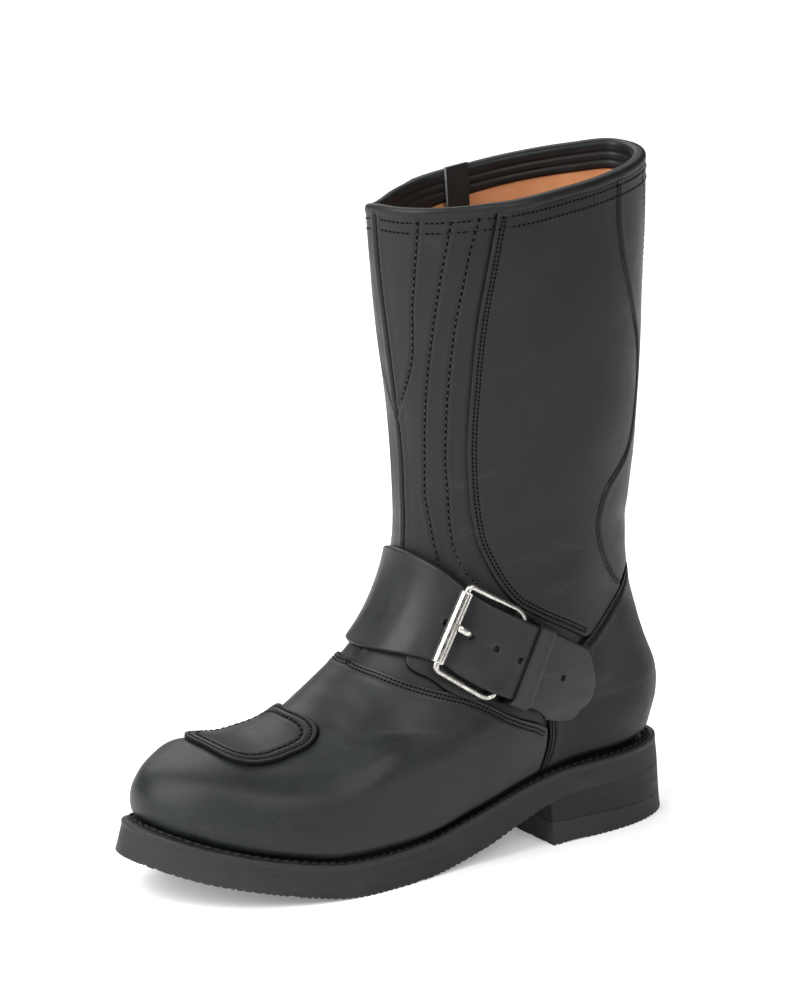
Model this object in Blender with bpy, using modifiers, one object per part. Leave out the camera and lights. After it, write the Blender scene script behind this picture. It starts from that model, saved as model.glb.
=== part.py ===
"""Pull-on biker boot for the left foot: toe towards -Y, outer side towards +X, standing on z = 0.

Sizes are in millimetres and become metres when a mesh is made. The upper is one surface,
addressed by level (a row of UPPER, from 0 under the welt to the collar) and turn (0 at the
front centre, +1 or -1 at the back centre, positive on the outer side). Every overlay, strap
and fitting is placed on that surface.
"""
import math

import bpy
import bmesh
import numpy as np

MM = 0.001
GAP = 0.3

# Driving sizes of the boot
LENGTH = 308.3
BALL_WIDTH = 100.0
SOLE_AT_BALL = 17.5
TOE_SWING = -6.9
WAIST_SWING = 4.2
RIM_BALL, RIM_WAIST, RIM_HEEL = 51.7, 36.4, 34.3
RIM_FRONT, RIM_BACK = -LENGTH / 2, LENGTH / 2
TOE_FLARE, HEEL_FLARE = 3.0, 1.0
GROUND_FLARE = 2.9
BREAST_Y = 67.6
LIFT_AT_BREAST, LIFT_AT_BACK = 12.5, 9.5

# The toe cap is domed: its crown sinks, and sinks more towards the sides
DOME_FROM_Y, DOME_RUN = -45.0, 60.0
DOME_FROM_Z, DOME_TALL = 36.0, 28.0
DOME_SINK, DOME_SIDE_SINK, DOME_MIDDLE, DOME_HALF = 2.5, 9.0, -4.0, 50.0

# The inner side of the leg hangs flatter near the collar: turns, the level where it begins, and how far
FLAT_FIRST, FLAT_LAST, FLAT_EASE = 0.03, 0.97, 0.22
FLAT_FROM, FLAT_IN, FLAT_DOWN = 12.0, 10.0, 2.5

# Leather and sole thicknesses
WELT = 3.2
WALL = 2.2
INSOLE = 4.0
OVERLAY = 1.3
COUNTER_LEATHER = 1.7
STRAP_LEATHER = 2.6
TAB_LEATHER = 1.4
KEEPER_LEATHER = 1.5
BINDING_LEATHER = 1.2
BINDING_DEPTH = 6.0
BINDING_SHOULDER, BINDING_CROWN = 0.4, 2.0

# Clearances over the faceted wall: overlays lie on it, straps and tab lie on overlays
OVERLAY_LIFT = 0.9
TAB_LIFT = 2.6
PATCH_LIFT = OVERLAY_LIFT + OVERLAY + 1.0
PATCH_LEATHER = 1.6
BUTT = 0.002
WELT_CLEAR = 0.8
WELT_EDGE, WELT_CROWN_AT = 1.0, 0.12
INSOLE_CLEAR = 1.1
LOOP_CLEAR = GAP + 0.1
PULL_CLEAR = 0.6
KEEPER_SIDE_CLEAR = 0.5
BACK_PANEL_EXTRA = 0.3
EDGE_ABOVE_WELT = 0.12
BACK_PANEL_ABOVE, BACK_PANEL_STEP = 0.08, 0.05

# Buckle
WIRE_R = 1.7
ROLLER_R = 3.0
ROLLER_SHELL = 0.9
PRONG_R = 1.2
ROLLER_TURN, BASE_TURN = 0.267, 0.435
ROLLER_ABOVE = STRAP_LEATHER + GAP + ROLLER_R
ROLLER_CORNER_RADII = (3.0, 3.0, 8.0, 8.0)
SIDE_CLEAR = 1.7
BASE_BELOW = SIDE_CLEAR + GAP + WIRE_R
SLOT_TURN, SLOT_HALF_LENGTH, SLOT_HALF_WIDTH, SLOT_CUT_DEPTH = 0.325, 6.0, 1.9, 16.0

# Prong from the base bar, through the strap, onto the roller: turn, then height over the upper
PRONG_PATH = [(0.392, 5.7), (0.357, 5.4), (0.327, 6.8), (0.304, 9.7), (0.286, 13.9), (0.270, 15.3)]

# How finely the faceted surfaces are cut
AROUND = 40
SOLE_ROWS, SOLE_COLUMNS = 30, 3


def table(columns, rows):
    """Named columns of a small table, as arrays."""
    return {name: np.array([row[i] for row in rows], float) for i, name in enumerate(columns)}


SOLE = table(("y", "tread", "thick"), [
    (-157.0, 22.2, 17.6),
    (-134.0, 15.0, 16.8),
    (-104.0, 8.1, 16.1),
    (-80.0, 3.2, 16.4),
    (-66.0, 0.9, 16.8),
    (-52.0, 0.0, 17.2),
    (-20.0, 0.0, 17.6),
    (-4.0, 1.3, 17.8),
    (21.0, 6.9, 17.7),
    (46.0, 16.1, 15.7),
    (68.0, 22.8, 13.7),
    (84.0, 25.0, 13.2),
    (111.0, 25.8, 13.0),
    (157.0, 26.8, 12.9),
])

# front and back are shares of the length, ball to heel are half widths as shares of the ball width,
# leg turns the foot outline into the rounder leg outline, follow is how much of the sole's curve
# the level keeps, and rise lifts the back of the level over its front
UPPER = table(("height", "front", "back", "ball", "waist", "heel", "leg", "follow", "rise"), [
    (14.5, -0.466, 0.472, 0.469, 0.322, 0.277, 0.00, 1.00, 0.0),
    (18.5, -0.468, 0.474, 0.474, 0.326, 0.281, 0.00, 1.00, 0.0),
    (30.8, -0.476, 0.484, 0.497, 0.368, 0.313, 0.00, 0.95, 1.0),
    (43.4, -0.470, 0.491, 0.496, 0.389, 0.339, 0.00, 0.85, 0.5),
    (57.6, -0.444, 0.491, 0.490, 0.400, 0.350, 0.00, 0.60, 0.0),
    (65.7, -0.389, 0.489, 0.459, 0.400, 0.356, 0.05, 0.40, 0.0),
    (70.9, -0.315, 0.487, 0.433, 0.401, 0.361, 0.12, 0.25, 1.6),
    (77.4, -0.234, 0.482, 0.416, 0.406, 0.367, 0.25, 0.12, 3.8),
    (89.8, -0.155, 0.467, 0.403, 0.412, 0.373, 0.40, 0.00, 5.0),
    (106.5, -0.085, 0.446, 0.399, 0.417, 0.383, 0.60, 0.00, 5.2),
    (128.7, -0.028, 0.424, 0.404, 0.421, 0.397, 0.80, 0.00, 4.5),
    (158.7, 0.006, 0.418, 0.425, 0.430, 0.421, 1.00, 0.00, 4.3),
    (197.8, 0.007, 0.433, 0.455, 0.449, 0.447, 1.00, 0.00, 5.3),
    (246.7, -0.010, 0.441, 0.484, 0.468, 0.464, 1.00, 0.00, 8.6),
    (296.8, -0.032, 0.449, 0.502, 0.477, 0.467, 1.00, 0.00, 11.5),
    (341.9, -0.048, 0.452, 0.503, 0.470, 0.459, 1.00, 0.00, 13.5),
])
LEVELS = np.arange(len(UPPER["height"]), dtype=float)
TOP = LEVELS[-1]
FEATHER = 1.0

# Lines drawn on the upper
PANEL_FRONT = table(("level", "turn"), [
    (9.06, 0.603), (9.70, 0.532), (10.44, 0.380), (10.86, 0.313), (11.26, 0.270), (11.58, 0.252),
    (12.20, 0.239), (13.16, 0.263), (13.72, 0.287), (14.20, 0.313), (15.0, 0.355),
])
BACK_EDGE = table(("level", "turn"), [
    (9.86, 0.765), (10.46, 0.685), (10.96, 0.637), (11.40, 0.627), (11.76, 0.662), (12.04, 0.755),
    (12.42, 0.800), (13.02, 0.787), (13.48, 0.737), (13.96, 0.688), (14.42, 0.667), (15.0, 0.667),
])
COUNTER_TOP = table(("turn", "level"), [
    (0.603, 8.94), (0.67, 9.44), (0.765, 9.88), (0.81, 10.05), (0.88, 10.17), (1.0, 10.24),
])
COUNTER_FRONT = table(("level", "turn"), [
    (1.0, 0.638), (2.64, 0.637), (4.34, 0.623), (6.5, 0.611), (8.94, 0.603),
])
VAMP_TOP = table(("turn", "level"), [
    (0.0, 9.02), (0.147, 8.82), (0.25, 8.44), (0.34, 8.00), (0.423, 7.52), (0.50, 6.56),
    (0.59, 4.26), (0.637, 3.02),
])

# low and high are the heights of the strap's edges, lift its height over the upper
STRAP = table(("turn", "low", "high", "lift"), [
    (-0.598, 72.0, 105.5, 3.8),
    (-0.545, 78.0, 112.0, 3.2),
    (-0.450, 88.0, 124.0, 2.4),
    (-0.330, 99.0, 137.0, 2.4),
    (-0.220, 105.0, 148.5, 1.6),
    (-0.110, 107.7, 155.5, 1.0),
    (0.000, 109.0, 158.3, 1.0),
    (0.070, 109.3, 158.2, 2.2),
    (0.127, 109.0, 156.5, 3.8),
    (0.170, 108.6, 153.8, 4.5),
    (0.270, 105.4, 142.3, 4.6),
    (0.330, 99.2, 135.4, 6.8),
    (0.385, 93.4, 130.0, 8.7),
    (0.440, 87.8, 124.6, 9.8),
    (0.500, 81.5, 118.3, 6.8),
    (0.580, 74.2, 108.0, 4.4),
    (0.652, 66.5, 98.3, 4.0),
])
STRAP_TIP, TIP_POWER, TIP_SKEW = 0.062, 3.0, 0.020
PATCH_LEVEL, PATCH_HALF_LEVEL, PATCH_HALF_TURN, PATCH_POWER = 6.44, 0.99, 0.181, 3.2
PATCH_BOW, PATCH_REAR_BOW = 3.5, 3.5
TAB_TURN, TAB_HALF_TURN, TAB_ACROSS, TAB_HALF_ACROSS = 0.312, 0.147, -0.45, 1.10
KEEPER_TURN, KEEPER_HALF, KEEPER_OVERHANG = 0.477, 0.0265, 1.9
PULL_TURN, PULL_HALF_TURN, PULL_LOW_LEVEL, PULL_LEATHER = -0.505, 0.035, 13.6, 2.0

# Levels of the upper's rows, closer over the foot than up the leg
UPPER_ROWS = np.concatenate([[0.0], np.linspace(1.0, 10.6, 17), np.linspace(11.2, TOP, 6)])

# Levels of the shaft's panel rows, closer where the back panel's edge curves
PANEL_ROWS = np.array([
    10.05, 10.3, 10.6, 10.9, 11.2, 11.5, 11.7, 11.85, 12.0, 12.3, 12.8, 13.3, 13.8, 14.3, 14.82,
])
SIDE_LOW_ROWS = np.array([9.25, 9.5, 9.78])
BINDING_LEVEL = 45.0

# Rows of the vamp from the welt to its top edge, closer over the bulge of the toe
VAMP_ROWS = np.array([0.0, 0.1, 0.19, 0.27, 0.34, 0.41, 0.5, 0.62, 0.75, 0.88, 1.0])

# Colours as red, green, blue, then roughness and metallic
BLACK_LEATHER = ((0.030, 0.032, 0.033), 0.50, 0.0)
STRAP_BLACK = ((0.034, 0.036, 0.037), 0.45, 0.0)
RUBBER = ((0.045, 0.047, 0.048), 0.70, 0.0)
STACKED = ((0.030, 0.028, 0.026), 0.60, 0.0)
INSOLE_TAN = ((0.42, 0.24, 0.13), 0.75, 0.0)
NICKEL = ((0.72, 0.70, 0.66), 0.25, 1.0)


def smooth(tab, by, column, at):
    """Cubic through one column of a table; outside the table the end value holds."""
    x = tab[by]
    y = tab[column]
    at = np.clip(np.asarray(at, float), x[0], x[-1])
    rise = np.diff(y) / np.diff(x)
    run = np.diff(x)
    slope = np.empty_like(y)
    slope[1:-1] = (rise[:-1] * run[1:] + rise[1:] * run[:-1]) / (x[2:] - x[:-2])
    slope[0] = rise[0]
    slope[-1] = rise[-1]
    i = np.clip(np.searchsorted(x, at, side="right") - 1, 0, len(x) - 2)
    t = (at - x[i]) / run[i]
    start = (1 + 2 * t) * (1 - t) ** 2 * y[i] + t * (1 - t) ** 2 * run[i] * slope[i]
    end = t * t * (3 - 2 * t) * y[i + 1] + t * t * (t - 1) * run[i] * slope[i + 1]
    return start + end


def tread(y):
    """Height of the outsole's underside; the flat under the ball rests on the floor."""
    return np.maximum(smooth(SOLE, "y", "tread", y), 0.0)


def seat(y):
    """Height of the welt's upper face."""
    return tread(y) + smooth(SOLE, "y", "thick", y)


def ease(t):
    t = np.clip(t, 0.0, 1.0)
    return t * t * (3 - 2 * t)


def outline(turn, front, back, ball, waist, heel, leg):
    """Plan of one level: a round nose and heel joined by ball, waist and heel half widths."""
    turn = (np.asarray(turn, float) + 1.0) % 2.0 - 1.0
    share = (1 - np.cos(np.pi * np.abs(turn))) / 2
    nose_length = 0.30 + 0.20 * leg
    heel_length = 0.22 + 0.28 * leg
    heel_power = 2.3 - 0.2 * leg
    nose = np.sqrt(1 - np.clip(1 - share / nose_length, 0, 1) ** 2.2)
    rear = np.sqrt(1 - np.clip(1 - (1 - share) / heel_length, 0, 1) ** heel_power)
    half = ball + (waist - ball) * ease((share - 0.30) / 0.28) + (heel - waist) * ease((share - 0.58) / 0.28)
    swing = TOE_SWING * np.clip(1 - share / 0.45, 0, 1) ** 1.6
    swing = swing + WAIST_SWING * np.exp(-((share - 0.55) / 0.16) ** 2)
    x = (1 - leg) * swing + np.sign(turn) * half * nose * rear + CENTRE_X
    return x, front + (back - front) * share


def rim(turn, toe_grow, heel_grow):
    """Plan of the sole's edge, grown outwards by toe_grow in front and heel_grow behind."""
    return outline(turn, RIM_FRONT - toe_grow, RIM_BACK + heel_grow, RIM_BALL + toe_grow,
                   RIM_WAIST + toe_grow, RIM_HEEL + heel_grow, 0.0)


def centre_shift():
    """Sideways shift that centres the sole and the buckle's overhang on x = 0."""
    x, _ = rim(np.linspace(-1, 1, 721), TOE_FLARE, GROUND_FLARE)
    return -(x.min() + x.max() + KEEPER_OVERHANG) / 2


CENTRE_X = 0.0
CENTRE_X = centre_shift()


def surface(level, turn):
    """Point of the upper's outer face, with the domed toe and the flatter inner side of the collar."""
    level, turn = np.broadcast_arrays(np.asarray(level, float), np.asarray(turn, float))
    rows = dict(UPPER, level=LEVELS)
    row = {name: smooth(rows, "level", name, level) for name in UPPER}
    front = row["front"] * LENGTH
    back = row["back"] * LENGTH
    x, y = outline(turn, front, back, row["ball"] * BALL_WIDTH, row["waist"] * BALL_WIDTH,
                   row["heel"] * BALL_WIDTH, row["leg"])
    z = row["height"] + row["follow"] * (seat(y) - SOLE_AT_BALL)
    z = z + row["rise"] * ((y - front) / (back - front) - 0.5)
    side = ((x - CENTRE_X - DOME_MIDDLE) / DOME_HALF) ** 2
    dome = ease((DOME_FROM_Y - y) / DOME_RUN) * ease((z - DOME_FROM_Z) / DOME_TALL)
    z = z - dome * (DOME_SINK + DOME_SIDE_SINK * side)
    inner = -((turn + 1.0) % 2.0 - 1.0)
    flat = ease((inner - FLAT_FIRST) / FLAT_EASE) * ease((FLAT_LAST - inner) / FLAT_EASE)
    flat = flat * ease((level - FLAT_FROM) / (TOP - FLAT_FROM))
    return np.stack([x + FLAT_IN * flat, y, z - FLAT_DOWN * flat], -1)


def unit(vectors):
    return vectors / np.linalg.norm(vectors, axis=-1, keepdims=True)


def normal(level, turn):
    """Outward direction of the upper's face."""
    level = np.clip(level, 0.02, TOP - 0.02)
    along = surface(level, turn + 0.002) - surface(level, turn - 0.002)
    up = surface(level + 0.01, turn) - surface(level - 0.01, turn)
    return unit(np.cross(along, up))


def lifted(level, turn, lift):
    """Point at a height over the upper's face."""
    level, turn, lift = np.broadcast_arrays(level, turn, lift)
    return surface(level, turn) + normal(level, turn) * lift[..., None]


def level_at(height, turn):
    """Level whose face reaches a height at a turn."""
    height, turn = np.broadcast_arrays(height, turn)
    steps = np.linspace(0, TOP, 481)
    found = [np.interp(h, surface(steps, t)[:, 2], steps) for h, t in zip(height.ravel(), turn.ravel())]
    return np.array(found).reshape(height.shape)


def strap_level(turn, across):
    """Level of a place on the strap: across is -1 on the low edge and 1 on the high edge."""
    low = smooth(STRAP, "turn", "low", turn)
    high = smooth(STRAP, "turn", "high", turn)
    return level_at((low + high) / 2 + across * (high - low) / 2, turn)


def strap_point(turn, across, above):
    """Point at a height over the strap's underside."""
    turn, across, above = np.broadcast_arrays(np.asarray(turn, float), across, above)
    lift = smooth(STRAP, "turn", "lift", turn) + above
    return lifted(strap_level(turn, across), turn, lift)


def collection(name):
    made = bpy.data.collections.new(name)
    bpy.context.scene.collection.children.link(made)
    return made


def clear_scene():
    for obj in list(bpy.data.objects):
        bpy.data.objects.remove(obj, do_unlink=True)


def finish_of(name, look):
    """Principled material with the piece's colour, roughness and metallic value."""
    colour, roughness, metallic = look
    made = bpy.data.materials.new(name)
    made.use_nodes = True
    shader = made.node_tree.nodes["Principled BSDF"]
    shader.inputs["Base Color"].default_value = (*colour, 1.0)
    shader.inputs["Roughness"].default_value = roughness
    shader.inputs["Metallic"].default_value = metallic
    made.diffuse_color = (*colour, 1.0)
    return made


def add_object(name, mesh, look, where):
    obj = bpy.data.objects.new(name, mesh)
    mesh.materials.append(finish_of(name, look))
    where.objects.link(obj)
    return obj


def mesh_from(name, sheets, outward=True):
    """One mesh from grids of points: rows by columns, welded where they touch."""
    shape = bmesh.new()
    for points in sheets:
        rows, columns = points.shape[:2]
        verts = [[shape.verts.new(p * MM) for p in row] for row in points]
        for r in range(rows - 1):
            for c in range(columns - 1):
                shape.faces.new((verts[r][c], verts[r][c + 1], verts[r + 1][c + 1], verts[r + 1][c]))
    bmesh.ops.remove_doubles(shape, verts=shape.verts, dist=0.01 * MM)
    bmesh.ops.dissolve_degenerate(shape, edges=shape.edges, dist=0.005 * MM)
    if outward:
        bmesh.ops.recalc_face_normals(shape, faces=shape.faces)
    mesh = bpy.data.meshes.new(name)
    shape.to_mesh(mesh)
    shape.free()
    mesh.shade_smooth()
    mesh.set_sharp_from_angle(angle=math.radians(40))
    return mesh


def shell(name, points, thickness, grow, look):
    """Open surface with a Solidify wall; grow is 1 outwards and -1 inwards."""
    obj = add_object(name, mesh_from(name, [points], outward=False), look, BOOT)
    wall = obj.modifiers.new("wall", "SOLIDIFY")
    wall.thickness = thickness * MM
    wall.offset = grow
    wall.use_quality_normals = True
    return obj


def slab(name, top, bottom, look):
    """Solid between two grids of the same rows and columns."""
    ends = [(top[0], bottom[0]), (top[-1], bottom[-1])]
    sides = [(top[:, 0], bottom[:, 0]), (top[:, -1], bottom[:, -1])]
    walls = [np.stack(pair) for pair in ends + sides]
    return add_object(name, mesh_from(name, [top, bottom] + walls), look, BOOT)


def band(name, rings, look):
    """Solid ring through closed sections: rings of points, the last joined to the first."""
    points = np.stack(list(rings) + [rings[0]])
    points = np.concatenate([points, points[:, :1]], axis=1)
    return add_object(name, mesh_from(name, [points]), look, BOOT)


def sole_grid(turns, toe_grow, heel_grow, height):
    """Rows across the sole from the inner to the outer edge; height is a function of y."""
    outer = rim(turns, toe_grow, heel_grow)
    inner = rim(-turns, toe_grow, heel_grow)
    across = np.linspace(0, 1, SOLE_COLUMNS + 1)
    x = inner[0][:, None] + (outer[0] - inner[0])[:, None] * across
    y = np.repeat(outer[1][:, None], SOLE_COLUMNS + 1, axis=1)
    return np.stack([x, y, height(y)], -1)


def around(count):
    """Turns of evenly numbered columns all the way round."""
    return np.linspace(-1, 1, count, endpoint=False)


def make_outsole():
    turns = np.linspace(0, 1, SOLE_ROWS + 1)
    top = sole_grid(turns, 0.0, 0.0, lambda y: seat(y) - WELT - GAP)
    bottom = sole_grid(turns, TOE_FLARE, HEEL_FLARE, tread)
    slab("outsole", top, bottom, RUBBER)


def heel_turns(toe_grow, heel_grow):
    """Turns from the heel breast to the back of the heel."""
    dense = np.linspace(0.3, 1.0, 2001)
    first = np.interp(BREAST_Y, rim(dense, toe_grow, heel_grow)[1], dense)
    return np.linspace(first, 1.0, 12)


def lift_top(y):
    share = (y - BREAST_Y) / (RIM_BACK - BREAST_Y)
    return LIFT_AT_BREAST + (LIFT_AT_BACK - LIFT_AT_BREAST) * share


def heel_layer(grow, height):
    """Grid of the heel's plan with one side growth."""
    return sole_grid(heel_turns(grow, grow), grow, grow, height)


def make_heel():
    middle_flare = (HEEL_FLARE + GROUND_FLARE) / 2
    top = heel_layer(HEEL_FLARE, lambda y: tread(y) - 2 * GAP)
    bottom = heel_layer(middle_flare, lambda y: lift_top(y) + GAP)
    slab("heel_block", top, bottom, STACKED)
    lift_upper = heel_layer(middle_flare, lift_top)
    ground = heel_layer(GROUND_FLARE, lambda y: 0.0 * y)
    slab("heel_lift", lift_upper, ground, RUBBER)


def make_welt():
    turns = around(2 * SOLE_ROWS)
    x, y = rim(turns, 0.0, 0.0)
    outer_low = np.stack([x, y, seat(y) - WELT], -1)
    outer_high = np.stack([x, y, seat(y) - WELT_EDGE], -1)
    face = unit(normal(FEATHER, turns) * np.array([1.0, 1.0, 0.0]))
    inner = surface(FEATHER, turns) + face * WELT_CLEAR
    inner_low = np.stack([inner[:, 0], inner[:, 1], seat(inner[:, 1]) - WELT], -1)
    inner_high = inner_low + np.array([0.0, 0.0, WELT])
    crown = outer_high + (inner_high - outer_high) * WELT_CROWN_AT
    crown[:, 2] = seat(crown[:, 1])
    band("welt", [outer_low, outer_high, crown, inner_high, inner_low], RUBBER)


def make_insole():
    turns = np.linspace(0, 1, SOLE_ROWS + 1)
    margin = WALL + INSOLE_CLEAR
    edge = surface(0.0, turns) - unit(normal(FEATHER, turns) * np.array([1.0, 1.0, 0.0])) * margin
    other = surface(0.0, -turns) - unit(normal(FEATHER, -turns) * np.array([1.0, 1.0, 0.0])) * margin
    across = np.linspace(0, 1, SOLE_COLUMNS + 1)[:, None]
    rows = other[:, None] + (edge - other)[:, None] * across
    low = seat(rows[..., 1]) - WELT + GAP
    top = np.stack([rows[..., 0], rows[..., 1], low + INSOLE], -1)
    bottom = np.stack([rows[..., 0], rows[..., 1], low], -1)
    slab("insole", top, bottom, INSOLE_TAN)


def make_upper():
    points = surface(UPPER_ROWS[:, None], np.linspace(-1, 1, AROUND + 1)[None, :])
    shell("upper", points, WALL, -1, BLACK_LEATHER)


def make_vamp():
    """Outer leather of the foot, from the welt to its sewn top edge, up to the counter."""
    share = VAMP_ROWS[:, None]
    column = np.linspace(-1, 1, 31)
    reach = smooth(COUNTER_FRONT, "level", "turn", 2.5)
    top = smooth(VAMP_TOP, "turn", "level", np.abs(column) * reach)
    low = FEATHER + EDGE_ABOVE_WELT
    levels = low + (top - low) * share
    turns = column * (smooth(COUNTER_FRONT, "level", "turn", levels) - BUTT)
    shell("vamp", lifted(levels, turns, OVERLAY_LIFT), OVERLAY, 1, BLACK_LEATHER)


def squircle(rows, columns, power):
    """Grid drawn in to a superellipse, so that its rings stay even."""
    a, b = np.meshgrid(np.linspace(-1, 1, rows), np.linspace(-1, 1, columns), indexing="ij")
    reach = np.maximum(np.abs(a), np.abs(b))
    size = (np.abs(a) ** power + np.abs(b) ** power) ** (1 / power)
    pull = np.divide(reach, size, out=np.ones_like(reach), where=size > 0)
    return a * pull, b * pull


def make_toe_patch():
    a, b = squircle(10, 10, PATCH_POWER)
    turn = b * PATCH_HALF_TURN
    level = PATCH_LEVEL + a * PATCH_HALF_LEVEL - (PATCH_BOW + PATCH_REAR_BOW * a) * turn ** 2
    points = lifted(level, turn, PATCH_LIFT)
    shell("toe_patch", points, PATCH_LEATHER, 1, BLACK_LEATHER)


def from_front(turn):
    """Turn counted from the front on either side, for turns that pass the back at 1."""
    return 1 - np.abs(turn - 1)


def make_counter():
    """Heel counter, from its outer front edge round the back to its inner front edge."""
    share = np.linspace(0, 1, 9)[:, None]
    low = FEATHER + EDGE_ABOVE_WELT
    front = smooth(COUNTER_FRONT, "level", "turn", low + (COUNTER_TOP["level"][0] - low) * share)
    turn = front + 2 * (1 - front) * np.linspace(0, 1, 19)
    top = smooth(COUNTER_TOP, "turn", "level", from_front(turn))
    levels = low + (top - low) * share
    shell("counter", lifted(levels, turn, OVERLAY_LIFT), COUNTER_LEATHER, 1, BLACK_LEATHER)


def make_side_panel(name, side):
    """Shaft side between the front panel and the back panel, standing on the counter's top edge."""
    rows = np.concatenate([SIDE_LOW_ROWS, PANEL_ROWS])[:, None]
    first = smooth(PANEL_FRONT, "level", "turn", rows)
    counter = np.interp(rows, COUNTER_TOP["level"], COUNTER_TOP["turn"])
    back = np.where(rows < BACK_EDGE["level"][0], counter - BUTT, smooth(BACK_EDGE, "level", "turn", rows))
    turn = first + (back - 2 * BUTT - first) * np.linspace(0, 1, 10)
    points = lifted(rows, side * turn, OVERLAY_LIFT)
    if side < 0:
        points = points[:, ::-1]
    shell(name, points, OVERLAY, 1, BLACK_LEATHER)


def make_back_panel():
    """Hourglass strip up the back; its lowest row follows the counter's top edge."""
    rows = np.concatenate([[BACK_EDGE["level"][0]], PANEL_ROWS])[:, None]
    edge = smooth(BACK_EDGE, "level", "turn", rows) + BUTT
    turn = edge + 2 * (1 - edge) * np.linspace(0, 1, 13)
    floor = smooth(COUNTER_TOP, "turn", "level", from_front(turn)) + BACK_PANEL_ABOVE
    levels = np.maximum(rows, floor + BACK_PANEL_STEP * np.arange(len(rows))[:, None])
    shell("back_panel", lifted(levels, turn, OVERLAY_LIFT), OVERLAY + BACK_PANEL_EXTRA, 1, BLACK_LEATHER)


def make_binding():
    """Rolled leather over the collar's edge: an arch in section, with a leg on each side."""
    turns = around(AROUND)
    out = LOOP_CLEAR
    thick = out + BINDING_LEATHER
    section = [
        (out, -BINDING_DEPTH), (thick, -BINDING_DEPTH), (thick, BINDING_SHOULDER), (-WALL / 2, BINDING_CROWN),
        (-WALL - thick, BINDING_SHOULDER), (-WALL - thick, -BINDING_DEPTH),
        (-WALL - out, -BINDING_DEPTH), (-WALL - out, out), (out, out),
    ]
    rings = []
    for away, height in section:
        ring = lifted(TOP + min(height, 0.0) / BINDING_LEVEL, turns, away)
        ring[:, 2] += max(height, 0.0)
        rings.append(ring)
    band("collar_binding", rings, BLACK_LEATHER)


def make_pull_strap():
    """Leather strap sewn inside the collar on the inner side of the leg."""
    levels = np.linspace(TOP, PULL_LOW_LEVEL, 6)[:, None]
    turns = PULL_TURN + PULL_HALF_TURN * np.linspace(-1, 1, 4)
    inside = -(WALL + GAP + BINDING_LEATHER + PULL_CLEAR)
    shell("pull_strap", lifted(levels, turns, inside), PULL_LEATHER, 1, STRAP_BLACK)


def make_strap():
    """Strap over the instep with a rounded free end, slotted for the prong."""
    last = STRAP["turn"][-1]
    body = np.linspace(STRAP["turn"][0], last - STRAP_TIP, 27)
    tip = last - STRAP_TIP + STRAP_TIP * np.sin(np.linspace(0, np.pi / 2, 6)[1:] * 0.93)
    turn = np.concatenate([body, tip])[:, None]
    past = np.clip((turn - last + STRAP_TIP) / STRAP_TIP, 0, 1)
    width = (1 - past ** TIP_POWER) ** (1 / TIP_POWER)
    across = width * np.linspace(-1, 1, 5)
    points = strap_point(turn - TIP_SKEW * past * across, across, 0.0)
    strap = shell("instep_strap", points.transpose(1, 0, 2), STRAP_LEATHER, 1, STRAP_BLACK)
    cut = strap.modifiers.new("prong_slot", "BOOLEAN")
    cut.operation = "DIFFERENCE"
    cut.solver = "EXACT"
    cut.object = slot_cutter()


def axes_at(turn):
    """Point on the middle of the strap, with the directions along, across and out of it."""
    middle = strap_point(turn, 0.0, 0.0)
    along = unit(strap_point(turn + 0.01, 0.0, 0.0) - strap_point(turn - 0.01, 0.0, 0.0))
    across = unit(strap_point(turn, 0.3, 0.0) - strap_point(turn, -0.3, 0.0))
    return middle, along, across, unit(np.cross(along, across))


def slot_cutter():
    """Long round-ended cutter for the hole that the prong passes through."""
    middle, along, across, out = axes_at(SLOT_TURN)
    shape = bmesh.new()
    bmesh.ops.create_cone(shape, cap_ends=True, segments=16, radius1=1.0, radius2=1.0, depth=1.0)
    for vert in shape.verts:
        x, y, z = vert.co
        place = middle + along * x * SLOT_HALF_LENGTH + across * y * SLOT_HALF_WIDTH
        vert.co = (place + out * z * SLOT_CUT_DEPTH) * MM
    bmesh.ops.recalc_face_normals(shape, faces=shape.faces)
    mesh = bpy.data.meshes.new("slot_cutter")
    shape.to_mesh(mesh)
    shape.free()
    cutter = bpy.data.objects.new("slot_cutter", mesh)
    CUTTERS.objects.link(cutter)
    cutter.hide_render = True
    cutter.display_type = "WIRE"
    return cutter


def make_tab():
    """Leather tab under the strap and buckle; its rounded end shows below the strap."""
    a, b = squircle(9, 7, 3.0)
    turn = TAB_TURN + a * TAB_HALF_TURN
    level = strap_level(turn, TAB_ACROSS + b * TAB_HALF_ACROSS)
    points = lifted(level, turn, TAB_LIFT).transpose(1, 0, 2)
    shell("buckle_tab", points, TAB_LEATHER, 1, BLACK_LEATHER)


def make_keeper():
    """Leather loop round the strap's free end."""
    side = 1 + KEEPER_SIDE_CLEAR / half_width(KEEPER_TURN)
    across = np.array([-side, -0.5, 0.0, 0.5, side])
    loop = np.concatenate([across, across[::-1]])
    above = np.concatenate([np.full(5, -LOOP_CLEAR), np.full(5, STRAP_LEATHER + LOOP_CLEAR)])
    loop = np.append(loop, loop[0])
    above = np.append(above, above[0])
    turn = KEEPER_TURN + KEEPER_HALF * np.linspace(-1, 1, 4)[:, None]
    points = strap_point(turn, loop, above)
    keeper = shell("strap_keeper", points, KEEPER_LEATHER, 1, STRAP_BLACK)
    keeper.modifiers["wall"].use_even_offset = True


def half_width(turn):
    """Half the strap's width at a turn."""
    return np.linalg.norm(strap_point(turn, 1.0, 0.0) - strap_point(turn, -1.0, 0.0)) / 2


def bar_ends(turn, above):
    """Ends of a buckle bar that crosses the strap, just outside its edges, low end first."""
    side = 1 + (SIDE_CLEAR + WIRE_R) / half_width(turn)
    return strap_point(turn, -side, above), strap_point(turn, side, above)


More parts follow.
